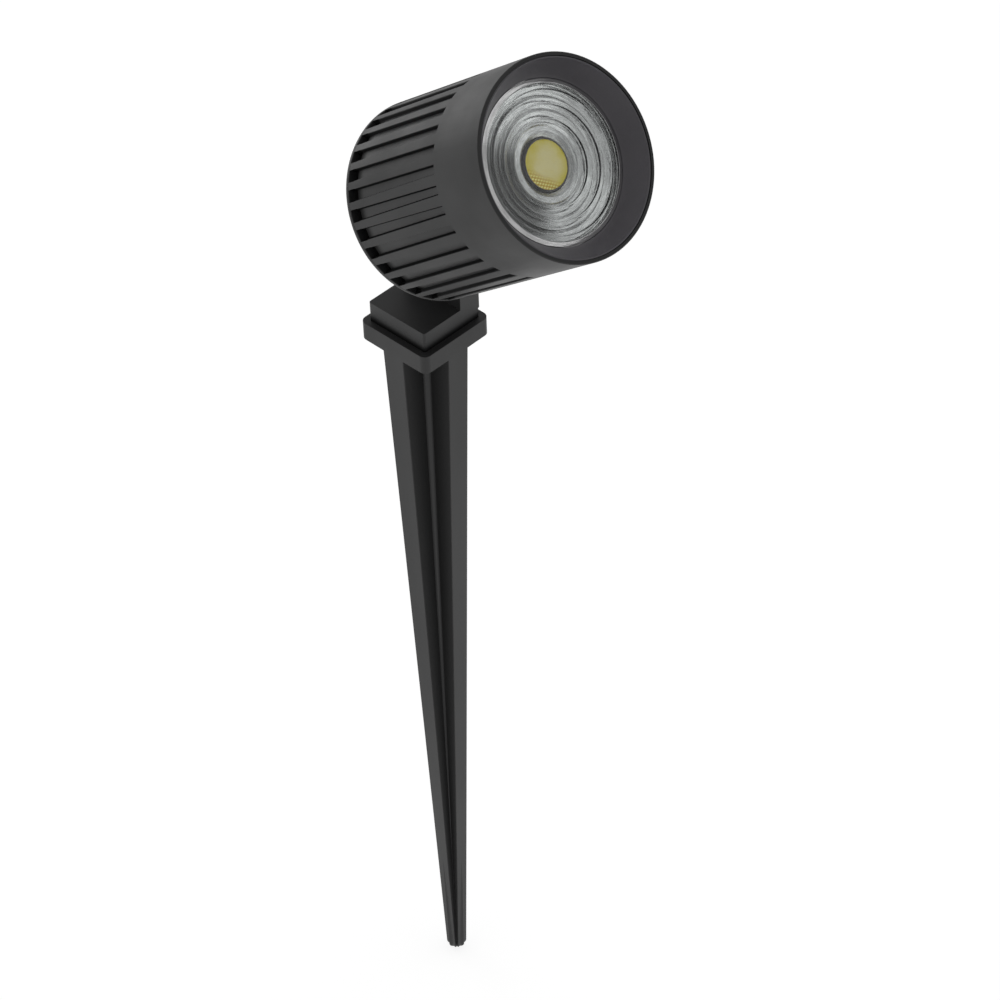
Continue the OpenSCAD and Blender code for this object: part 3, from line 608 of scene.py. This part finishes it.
def streaks(tree, where, width, length):
    """Noise drawn out round the lamp's axis, with the given sizes in millimetres at the streak radius."""
    away = from_axis(tree, lamp_place(tree, where))
    turn = scaled(tree, calc_vector(tree, "NORMALIZE", away), STREAK_RADIUS / length)
    rise = join(tree, z=calc(tree, "MULTIPLY", calc_vector(tree, "LENGTH", away), 1 / width))
    return put(tree, "TexNoise", {"Vector": calc_vector(tree, "ADD", turn, rise), "Scale": 1.0,
        "Detail": 3.0}).outputs["Fac"]


def coat_with_groove_shade():
    """Powder coat with painted shade on the sides of the housing's grooves and on their bottoms next to the
    pockets.
    """
    material = powder_coat("coat_with_groove_shade")
    tree = material.node_tree
    place = lamp_place(tree, put(tree, "TexCoord").outputs["Object"])
    along = split(tree, place)["Z"]
    radius = calc_vector(tree, "LENGTH", from_axis(tree, place))
    back, front = span("housing")
    floor = front.x - GROOVE_DEPTH
    pocket = back.z + POCKET_LENGTH
    shoulder = span("bezel_ring")[0].z
    # Painted shade: it is heavier on the groove sides behind the bezel than beside it, and on the groove bottoms
    # it thins out from the pockets on.
    wall_shade = calc(tree, "MULTIPLY", within(tree, radius, floor, front.x - 0.22, 0.08),
        ramp(tree, along, shoulder - 1.0, shoulder, 0.75, 0.25))
    floor_shade = calc(tree, "MULTIPLY", within(tree, radius, 0.0, floor, 0.08),
        ramp(tree, along, pocket, pocket + 3.4, 0.8, 0.0, "SMOOTHSTEP"))
    return painted_shade(material, calc(tree, "MAXIMUM", wall_shade, floor_shade))


def bracket_coat_with_shade():
    """Powder coat with painted shade at the bottom of the bracket's foot, where it meets the stake."""
    material = powder_coat("bracket_coat_with_shade")
    tree = material.node_tree
    height = split(tree, put(tree, "TexCoord").outputs["Object"])["Z"]
    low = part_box("bracket")[0].z
    # Painted shade: full up to 2.6 mm above the bottom of the foot, gone by 5.2 mm, mixed in at 85 percent.
    foot_shade = ramp(tree, height, low + 2.6 * MM, low + 5.2 * MM, 1.0, 0.0, "SMOOTHSTEP")
    return painted_shade(material, foot_shade, 0.85)


def arm_end(low, high):
    """Reach and half thickness of the spike's arms, from its corners between two heights."""
    points = [v.co / MM for v in frame["nodes"]["spike"].data.vertices if low < v.co.z / MM < high]
    points = [p for p in points if abs(p.y) > 1.0]
    reach = max(abs(p.x) for p in points)
    return reach, min(abs(p.y) for p in points if abs(p.x) > reach - 0.1)


def spike_plastic_with_shade():
    """Moulded plastic, satin on the outer faces of the arms, with painted shade on their sides."""
    material = grained("spike_plastic_with_shade", bpy.context.scene.spotlamp_castings.moulding, roughness=0.48,
        grain=0.25, depth=0.008, variation=0.05, patches=22.0, stretch=(1.0, 1.0, 0.25))
    tree = material.node_tree
    low = span("spike", STAKE)[0].z
    top, tip = arm_end(-0.1, 0.1), arm_end(low, 0.98 * low)
    place = scaled(tree, put(tree, "TexCoord").outputs["Object"], 1 / MM)
    height = split(tree, place)["Z"]
    side = split(tree, calc_vector(tree, "ABSOLUTE", place))
    far = calc(tree, "MAXIMUM", side["X"], side["Y"])
    near = calc(tree, "MINIMUM", side["X"], side["Y"])
    mask = ramp(tree, height, -0.3, -0.1, 1.0, 0.0)
    # Painted shade covers the arms' sides below the flange. The sides begin 0.35 mm short of the arm's outer face
    # and lie up to 0.3 mm off its flat.
    for value, wide, narrow, room in ((far, top[0], tip[0], -0.35), (near, top[1], tip[1], 0.3)):
        limit = ramp(tree, height, low, 0.0, narrow + room, wide + room)
        inside = ramp(tree, calc(tree, "SUBTRACT", value, limit), -0.1, 0.1, 1.0, 0.0)
        mask = calc(tree, "MULTIPLY", mask, inside)
    return painted_shade(material, mask, 0.38)


def clear_lens():
    """Clear moulded lens: faint ripples, a frosted skin, and shadows that let light through."""
    settings = bpy.context.scene.spotlamp_optics
    material, tree, where, surface = start_finish("clear_lens")
    ripple = streaks(tree, where, 0.5, 5.0)
    skin = noise(tree, where, 0.4)
    height = calc(tree, "MULTIPLY_ADD", skin, 0.25, ripple)
    bump = put(tree, "Bump", {"Height": height, "Strength": 0.5, "Distance": 0.05 * MM})
    glass = put(tree, "BsdfPrincipled", {"Base Color": (*settings.glass, 1), "IOR": 1.49,
        "Transmission Weight": 1.0, "Normal": bump.outputs["Normal"],
        "Roughness": spread(tree, skin, 0.02, 0.07)})
    pane = put(tree, "BsdfTransparent", {"Color": (*settings.glass, 1)})
    shadow = put(tree, "LightPath").outputs["Is Shadow Ray"]
    mixed = put(tree, "MixShader", {0: shadow, 1: glass.outputs["BSDF"], 2: pane.outputs["BSDF"]})
    tree.links.new(mixed.outputs[0], surface)
    return material


def reflector_film():
    """Vacuum-metallised plastic with fine turning streaks, and painted shade on one side and in its cup."""
    material, tree, where, surface = start_finish("reflector_film")
    away = from_axis(tree, lamp_place(tree, where))
    radius = calc_vector(tree, "LENGTH", away)
    gel = span("cob_phosphor")[1].x
    edge = span("front_gasket")[1].x - 3.6
    cup = gel + REFLECTOR_CUP
    side = calc_vector(tree, "DOT_PRODUCT", calc_vector(tree, "NORMALIZE", away), SHADED_FILM_SIDE)
    side = ramp(tree, side, 0.40, 0.88, shape="SMOOTHSTEP")
    side = calc(tree, "MULTIPLY", side, within(tree, radius, gel + 3.6, edge, 0.2))
    # Painted shade: on its shaded side the film loses 62 percent of its brightness, and in its cup it keeps 58
    # percent.
    side_shade = calc(tree, "MULTIPLY_ADD", side, -0.62, 1.0)
    cup_shade = ramp(tree, radius, cup - 0.15, cup + 0.15, 0.58, 1.0)
    haze = noise(tree, where, 0.6, 3.0)
    fine = put(tree, "Mix", {0: 0.25, 2: streaks(tree, where, 0.28, 5.0), 3: haze}).outputs[0]
    broad = streaks(tree, where, 0.9, 9.0)
    tone = calc(tree, "MULTIPLY", spread(tree, fine, 0.74, 1.10), spread(tree, broad, 0.74, 1.10))
    tone = calc(tree, "MULTIPLY", tone, calc(tree, "MULTIPLY", side_shade, cup_shade))
    bump = put(tree, "Bump", {"Height": fine, "Strength": 1.0, "Distance": 0.055 * MM})
    film = put(tree, "BsdfPrincipled", {"Metallic": 1.0, "Normal": bump.outputs["Normal"],
        "Base Color": scaled(tree, tuple(bpy.context.scene.spotlamp_optics.metal), tone),
        "Roughness": spread(tree, haze, 0.05, 0.12)})
    tree.links.new(film.outputs["BSDF"], surface)
    return material


def phosphor_gel():
    """Yellow gel: pale in the middle, deeper at its edge, with the rows of dies showing where it is thin, and a
    faint painted glow.
    """
    settings = bpy.context.scene.spotlamp_optics
    reach = span("cob_phosphor")[1].x
    material, tree, where, surface = start_finish("phosphor_gel")
    place = lamp_place(tree, where)
    radius = calc_vector(tree, "LENGTH", from_axis(tree, place))
    uneven = noise(tree, where, 3.5)
    rim = calc(tree, "ADD", ramp(tree, radius, 0.45 * reach, reach), calc(tree, "SUBTRACT", uneven, 0.5),
        use_clamp=True)
    colour = put(tree, "ValToRGB", {"Fac": rim})
    stops = colour.color_ramp.elements
    r, g, b = settings.phosphor
    stops[0].color = (r, g, b, 1)
    stops[1].color = (0.86 * r, 0.80 * g, 0.04 * b, 1)
    thin = calc_vector(tree, "DOT_PRODUCT", scaled(tree, place, 1 / reach), THIN_GEL_SIDE)
    thin = ramp(tree, thin, 0.40, 0.72)
    axes = split(tree, place)
    rows = [calc(tree, "SINE", calc(tree, "MULTIPLY", axes[axis], math.tau / pitch))
        for axis, pitch in zip("XY", DIE_PITCH)]
    dies = ramp(tree, calc(tree, "MULTIPLY", *rows), 0.05, 0.25)
    amber = blend(tree, thin, colour.outputs["Color"], (0.66, 0.42, 0.01, 1))
    final = blend(tree, calc(tree, "MULTIPLY", thin, dies), amber, (1.0, 0.93, 0.30, 1))
    bump = put(tree, "Bump", {"Height": noise(tree, where, 0.12), "Strength": 0.5,
        "Distance": 0.02 * MM})
    # The emission is painted glow that brightens the gel.
    gel = put(tree, "BsdfPrincipled", {"Base Color": final, "Emission Color": final,
        "Emission Strength": settings.glow, "Normal": bump.outputs["Normal"],
        "Roughness": spread(tree, uneven, 0.30, 0.45)})
    tree.links.new(gel.outputs["BSDF"], surface)
    return material


def floor_finish():
    """Pale matt floor that shows white to camera, gloss and glass, and still takes shadows."""
    settings = bpy.context.scene.spotlamp_stage
    material, tree, where, surface = start_finish("pale_floor")
    tone = spread(tree, noise(tree, where, 60.0), settings.floor * 0.99, settings.floor * 1.01)
    matt = put(tree, "BsdfDiffuse", {"Color": join(tree, tone, tone, tone)})
    path = put(tree, "LightPath").outputs
    seen = calc(tree, "MULTIPLY", path["Is Camera Ray"], settings.backdrop)
    shine = calc(tree, "MAXIMUM", path["Is Glossy Ray"], path["Is Transmission Ray"])
    lift = calc(tree, "MULTIPLY_ADD", shine, settings.mirrored, seen)
    glow = put(tree, "Emission", {"Color": (1, 1, 1, 1), "Strength": lift})
    both = put(tree, "AddShader", {0: matt.outputs[0], 1: glow.outputs[0]})
    tree.links.new(both.outputs[0], surface)
    return material


# Stage

def softbox(name, place, width, height, power):
    """Wide, soft area light that faces the middle of the scene and stays out of the camera's sight."""
    light = bpy.data.lights.new(name, "AREA")
    light.shape = "RECTANGLE"
    light.size, light.size_y = width, height
    light.energy = power
    box = bpy.data.objects.new(name, light)
    bpy.context.scene.collection.objects.link(box)
    box.matrix_world = Matrix.LocRotScale(place, place.to_track_quat("Z", "Y"), None)
    box.visible_camera = False


def camera_axes(settings):
    """The camera's right, up and backward directions before its roll."""
    level = math.cos(settings.elevation)
    back = Vector((math.sin(settings.azimuth) * level, -math.cos(settings.azimuth) * level,
        math.sin(settings.elevation)))
    right = Vector((0, 0, 1)).cross(back).normalized()
    return right, back.cross(right), back


def studio_walls(settings):
    """White world whose brightness goes from the horizon to the ceiling."""
    world = bpy.data.worlds.new("studio")
    world.use_nodes = True
    tree = world.node_tree
    tree.nodes.clear()
    height = split(tree, put(tree, "TexCoord").outputs["Generated"])["Z"]
    level = ramp(tree, height, 0.10, 0.65, settings.horizon, settings.ceiling, "SMOOTHSTEP")
    light = put(tree, "Background", {"Color": (1, 1, 1, 1), "Strength": level})
    tree.links.new(light.outputs[0], put(tree, "OutputWorld").inputs["Surface"])
    return world


# Operators

class SPOTLAMP_OT_stake(bpy.types.Operator):
    """Dress the ground spike, the bracket and the screws between them"""
    bl_idname = "spotlamp.stake"
    bl_label = "Stake and Bracket"

    def execute(self, context):
        edge = context.scene.spotlamp_castings.edge
        dress_node("spike", spike_plastic_with_shade(), edge)
        dress_node("bracket", bracket_coat_with_shade(), edge)
        at = span("bracket_screws", STAKE)[1].x - SCREW_HEAD_D / 2
        corners = [Matrix.Translation((x, y, 0)) for x in (-at, at) for y in (-at, at)]
        screw_set("bracket_screw_set", "stake", "bracket_screws", STAKE, corners)
        return {"FINISHED"}


class SPOTLAMP_OT_knuckle(bpy.types.Operator):
    """Model the hinge bolt, its washers, the lock nut and the friction washer"""
    bl_idname = "spotlamp.knuckle"
    bl_label = "Tilting Knuckle"

    def execute(self, context):
        steel = steel_finish()
        low, high = span("hinge_bolt", HINGE)
        d = span("hinge_washers", HINGE)[1].x
        hole = d / 2 + CLEARANCE
        head_h = 0.55 * d
        seat = high.z - head_h
        smooth = 0.62 * (seat - low.z)
        pitch = mm(context.scene.spotlamp_hardware.hinge_pitch)
        bm = bmesh.new()
        add_part(bm, socket_screw(d, smooth, high.x * 2, head_h), HINGE @ lifted(seat))
        add_part(bm, thread(d, pitch, low.z, seat - smooth + 0.2), HINGE)
        finish_piece("hinge_bolt_threaded", bm, "stake", ["hinge_bolt"], "steel", steel)

        bm = bmesh.new()
        low, high = span("hinge_washers", HINGE)
        thick = 0.2 * d
        for z in (low.z, high.z - thick):
            add_part(bm, flat_ring(hole, high.x, z, z + thick, 0.1, 0.2, 64), HINGE)
        finish_piece("hinge_washer_pair", bm, "stake", ["hinge_washers"], "steel", steel)

        bm = bmesh.new()
        low, high = span("hinge_nut", HINGE)
        height = high.z - low.z
        flats, collar = 1.6 * d, 0.69 * d
        nut = collared_nut(flats, 0.7 * height, d / 2 + 0.03, collar, height)
        add_part(bm, nut, HINGE @ lifted(high.z) @ UPSIDE_DOWN)
        finish_piece("hinge_lock_nut", bm, "stake", ["hinge_nut"], "steel", steel)

        bm = bmesh.new()
        low, high = span("friction_washer", HINGE)
        add_part(bm, flat_ring(hole, high.x, low.z, high.z, 0.15, 0.25, 96), HINGE)
        finish_piece("friction_disc", bm, "stake", ["friction_washer"], "white_plastic", stock("nylon"))
        return {"FINISHED"}


class SPOTLAMP_OT_housing(bpy.types.Operator):
    """Dress the finned housing and the back cover, and model their seal and screws"""
    bl_idname = "spotlamp.housing"
    bl_label = "Housing and Back Cover"

    def execute(self, context):
        edge = context.scene.spotlamp_castings.edge
        dress_node("housing", coat_with_groove_shade(), edge)
        dress_node("rear_cover", powder_coat(), edge)

        low, high = span("rear_seal")
        wire = (high.z - low.z) / 2
        bm = bmesh.new()
        place = Matrix.Translation((high.x - wire, 0, low.z + wire))
        bmesh.ops.create_circle(bm, cap_ends=False, radius=wire, segments=16,
            matrix=place @ Matrix.Rotation(math.pi / 2, 4, "X"))
        bmesh.ops.spin(bm, geom=bm.verts[:] + bm.edges[:], cent=(0, 0, 0), axis=(0, 0, 1),
            angle=math.tau, steps=128, use_merge=True)
        bmesh.ops.recalc_face_normals(bm, faces=bm.faces)
        bm.transform(LAMP)
        finish_piece("cover_sealing_ring", bm, "head", ["rear_seal"], "black_rubber", stock("black_rubber"))

        reach = (span("cover_screws")[1].x - SCREW_HEAD_D / 2) * math.sqrt(2)
        corners = [Matrix.Rotation(math.radians(45 + 90 * i), 4, "Z") @ Matrix.Translation((reach, 0, 0))
            for i in range(4)]
        screw_set("cover_screw_set", "head", "cover_screws", LAMP, corners)
        return {"FINISHED"}


class SPOTLAMP_OT_bezel(bpy.types.Operator):
    """Model the cone-shaped bezel and the gasket behind the lens"""
    bl_idname = "spotlamp.bezel"
    bl_label = "Bezel and Gasket"

    def execute(self, context):
        low, high = span("bezel_ring")
        lens = span("lens")[1]
        bore = lens.x + CLEARANCE
        seat = lens.z - LENS_SEAT
        lip = seat + 0.8
        opening = lens.x - LENS_FLANGE
        neck = high.x - 0.4
        section = [(bore, low.z), (high.x, low.z), (high.x, high.z, 0.15), (neck, high.z, 0.15),
            (opening, lip, 0.2), (opening, seat, 0.1), (bore, seat)]
        bm = turned(section, 192)
        bm.transform(LAMP)
        finish_piece("bezel_cone", bm, "head", ["bezel_ring"], "coated_metal", bezel_coat())

        low, high = span("front_gasket")
        bm = flat_ring(opening + CLEARANCE, high.x, low.z, high.z, 0.3, 0.3, 128)
        bm.transform(LAMP)
        finish_piece("lens_gasket", bm, "head", ["front_gasket"], "grey_rubber", stock("grey_silicone"))
        return {"FINISHED"}


class SPOTLAMP_OT_lens(bpy.types.Operator):
    """Model the lens: a shallow bowl of steps with a beaded edge"""
    bl_idname = "spotlamp.lens"
    bl_label = "Lens"

    def execute(self, context):
        settings = context.scene.spotlamp_optics
        low, high = span("lens")
        width, height = mm(settings.step_width), mm(settings.step_height)
        outer = high.x - LENS_FLANGE - CLEARANCE
        seat = high.z - LENS_SEAT
        back = low.z + 0.3
        hollow = low.z + mm(settings.hollow)
        bead = outer - 1.3
        foot, heel = outer - 0.9, outer - 0.1
        section = [(0, high.z - settings.steps * height)]
        for i in reversed(range(settings.steps)):
            r = outer - mm(settings.lens_edge) - i * width
            z = high.z - i * height
            section += [(r - 0.3, z - height, 0.15), (r, z, 0.2)]
        section += [(bead - 0.2, high.z - 0.1, 0.1), (bead, high.z, 0.1), (outer, high.z - 0.42, 0.15),
            (outer, seat), (high.x, seat, 0.2), (high.x, back, 0.2), (heel, back), (heel, low.z, 0.1),
            (foot, low.z, 0.1), (foot, hollow, 0.1), (0, hollow)]
        bm = turned(section, 192)
        for face in bm.faces:
            middle = face.calc_center_median()
            on_bead = middle.xy.length > bead - 0.02 and middle.z > seat
            face.material_index = int(on_bead or middle.xy.length > outer - 0.35)
        bm.transform(LAMP)
        finish_piece("stepped_lens", bm, "head", ["lens"], "clear_lens", clear_lens(), reflector_film(),
            sharp=50)
        return {"FINISHED"}


class SPOTLAMP_OT_reflector(bpy.types.Operator):
    """Model the metallised reflector round the light source"""
    bl_idname = "spotlamp.reflector"
    bl_label = "Reflector"

    def execute(self, context):
        settings = context.scene.spotlamp_optics
        low, high = span("reflector")
        gel = span("cob_phosphor")[1].x
        back = span("cob_holder")[1].z + 0.02
        floor = back + 0.14
        brim = span("lens")[0].z + mm(settings.hollow) - 0.06
        top = high.z - 0.1
        lip, cup, inner = gel + 0.45, gel + REFLECTOR_CUP, gel + 4.5
        rim = span("front_gasket")[1].x - 3.3
        skirt = high.x - 0.8
        section = [(lip, back), (lip, back + 0.2, 0.05), (cup, brim - 0.34, 0.15),
            (cup + 1.5, brim - 0.76, 0.15), (inner - 0.15, brim, 0.25)]
        band = (rim - inner) / settings.bands
        for i in range(settings.bands):
            r = inner + i * band
            section += [(r + 0.12 * band, floor, 0.2), (r + 0.88 * band, brim, 0.3)]
        section += [(rim, floor, 0.2), (rim + 0.3, floor, 0.1), (rim + 0.5, top, 0.25),
            (high.x - 0.1, top, 0.3), (high.x, floor, 0.1), (high.x, low.z), (skirt, low.z), (skirt, back)]
        bm = turned(section, 192)
        bm.transform(LAMP)
        finish_piece("terraced_reflector", bm, "head", ["reflector"], "bright_reflector", reflector_film())
        return {"FINISHED"}


class SPOTLAMP_OT_light_source(bpy.types.Operator):
    """Dress and model the light source: board, phosphor, clamp ring, its screws and the pad"""
    bl_idname = "spotlamp.light_source"
    bl_label = "Light Source"

    def execute(self, context):
        thick, rise = 1.0, 0.7
        low, high = span("cob_board")
        gel = span("cob_phosphor")[1].x
        top = low.z + thick
        bm = bmesh.new()
        add_part(bm, plate(low, high, thick, corner=0.6, edge=0.12), LAMP @ lifted(low.z))
        inside, outside = gel - 0.05, gel + 0.25
        foot, rim = top - 0.1, high.z + rise
        # The dam is dark, partly as painted shade of the gap round the gel.
        dam = turned([(inside, foot), (outside, foot), (outside, rim, 0.1), (inside, rim, 0.1)], 96)
        add_part(bm, dam, LAMP, material=2)
        pad_x, pad_y = 1.1, 1.6
        for way in (-1, 1):
            pad = plate((-pad_x, -pad_y), (pad_x, pad_y), 0.06, corner=0.5, edge=0.02)
            corner = Matrix.Translation((way * (high.x - pad_x - 0.7), way * (high.x - pad_y - 1.0), top))
            add_part(bm, pad, LAMP @ corner, material=1)
        finish_piece("light_source_board", bm, "head", ["cob_board"], "white_board",
            stock("white_ceramic"), stock("gold_pads"), stock("dam_with_painted_shade"))

        low, high = span("cob_phosphor")
        top = high.z + rise
        bm = turned([(0, low.z), (high.x, low.z), (high.x, top - 0.25), (0.75 * high.x, top, 1.5),
            (0, top)], 96)
        bm.transform(LAMP)
        finish_piece("phosphor_dome", bm, "head", ["cob_phosphor"], "phosphor", phosphor_gel())
        dress_node("cob_holder", stock("white_plastic"))
        dress_node("holder_screws", steel_finish(), 0.1 * MM)
        dress_node("thermal_pad", stock("thermal_pad"))
        return {"FINISHED"}


class SPOTLAMP_OT_driver(bpy.types.Operator):
    """Dress the driver inside the housing and its leads"""
    bl_idname = "spotlamp.driver"
    bl_label = "Driver"

    def execute(self, context):
        mask = stock("solder_mask")
        dress_node("driver_board", mask, 0.1 * MM)
        dress_node("driver_terminal", mask, 0.3 * MM)
        dress_node("driver_transformer", stock("yellow_tape"), 0.3 * MM)
        dress_node("driver_capacitor", stock("dark_sleeve"), 0.5 * MM)
        dress_node("driver_spacers", stock("brass"), 0.15 * MM)
        dress_node("driver_screws", steel_finish(), 0.12 * MM)
        dress_node("led_leads", stock("red_wire"))
        return {"FINISHED"}


class SPOTLAMP_OT_gland(bpy.types.Operator):
    """Dress the cable gland in the back cover"""
    bl_idname = "spotlamp.gland"
    bl_label = "Cable Gland"

    def execute(self, context):
        nylon = stock("black_nylon")
        for node in ("gland_body", "gland_locknut", "gland_nut"):
            dress_node(node, nylon, 0.2 * MM)
        dress_node("gland_seal", stock("gland_rubber"), 0.15 * MM)
        return {"FINISHED"}


class SPOTLAMP_OT_stage(bpy.types.Operator):
    """Set up the floor, the soft light and the camera"""
    bl_idname = "spotlamp.stage"
    bl_label = "Floor, Light and Camera"

    def execute(self, context):
        settings = context.scene.spotlamp_stage
        scene = context.scene
        ground = cad_box[0].z
        bm = bmesh.new()
        bmesh.ops.create_grid(bm, x_segments=8, y_segments=8, size=60, matrix=lifted(ground))
        mesh = bpy.data.meshes.new("floor")
        bm.to_mesh(mesh)
        bm.free()
        floor = bpy.data.objects.new("floor", mesh)
        scene.collection.objects.link(floor)
        mesh.materials.append(floor_finish())

        right, up, back = camera_axes(settings)
        turn = Matrix((right, up, back)).transposed() @ Matrix.Rotation(settings.roll, 3, "Z")
        camera = bpy.data.objects.new("camera", bpy.data.cameras.new("camera"))
        scene.collection.objects.link(camera)
        camera.data.lens = settings.focal
        place = Vector(settings.aim) + back * settings.distance
        camera.matrix_world = Matrix.LocRotScale(place, turn, None)
        scene.camera = camera

        middle = Vector((back.x, back.y, 0)).normalized() * 0.12 + Vector((0, 0, ground + 0.13))
        for name, way in (("softbox_left", -0.70), ("softbox_right", 0.70)):
            softbox(name, middle + right * way, 0.8, 0.24, settings.sides)
        softbox("softbox_top", Vector(settings.overhead), 0.9, 0.9, settings.top)
        softbox("softbox_back", Vector(settings.behind), 0.5, 0.3, settings.back)
        scene.world = studio_walls(settings)
        scene.view_settings.view_transform = "Standard"
        return {"FINISHED"}


OPERATORS = (SPOTLAMP_OT_stake, SPOTLAMP_OT_knuckle, SPOTLAMP_OT_housing, SPOTLAMP_OT_bezel,
    SPOTLAMP_OT_lens, SPOTLAMP_OT_reflector, SPOTLAMP_OT_light_source, SPOTLAMP_OT_driver,
    SPOTLAMP_OT_gland, SPOTLAMP_OT_stage)


class SPOTLAMP_PT_panel(bpy.types.Panel):
    """Lists the lamp's pieces and their settings"""
    bl_idname = "SPOTLAMP_PT_panel"
    bl_label = "Spot Lamp"
    bl_space_type = "VIEW_3D"
    bl_region_type = "UI"
    bl_category = "Spot Lamp"

    def draw(self, context):
        for operator in OPERATORS:
            self.layout.operator(operator.bl_idname)
        for name in GROUPS:
            box = self.layout.box()
            group = getattr(context.scene, name)
            # The first two properties are the group's own type and name.
            for key in group.bl_rna.properties.keys()[2:]:
                box.prop(group, key)


def register():
    for group in GROUPS.values():
        bpy.utils.register_class(group)
    for cls in (*OPERATORS, SPOTLAMP_PT_panel):
        bpy.utils.register_class(cls)
    for name, group in GROUPS.items():
        setattr(bpy.types.Scene, name, PointerProperty(type=group))


def unregister():
    for name in GROUPS:
        delattr(bpy.types.Scene, name)
    for cls in (SPOTLAMP_PT_panel, *reversed(OPERATORS), *reversed(GROUPS.values())):
        bpy.utils.unregister_class(cls)


def main():
    register()
    for operator in OPERATORS:
        getattr(bpy.ops.spotlamp, operator.bl_idname.removeprefix("spotlamp."))()


if __name__ == "__main__":
    main()
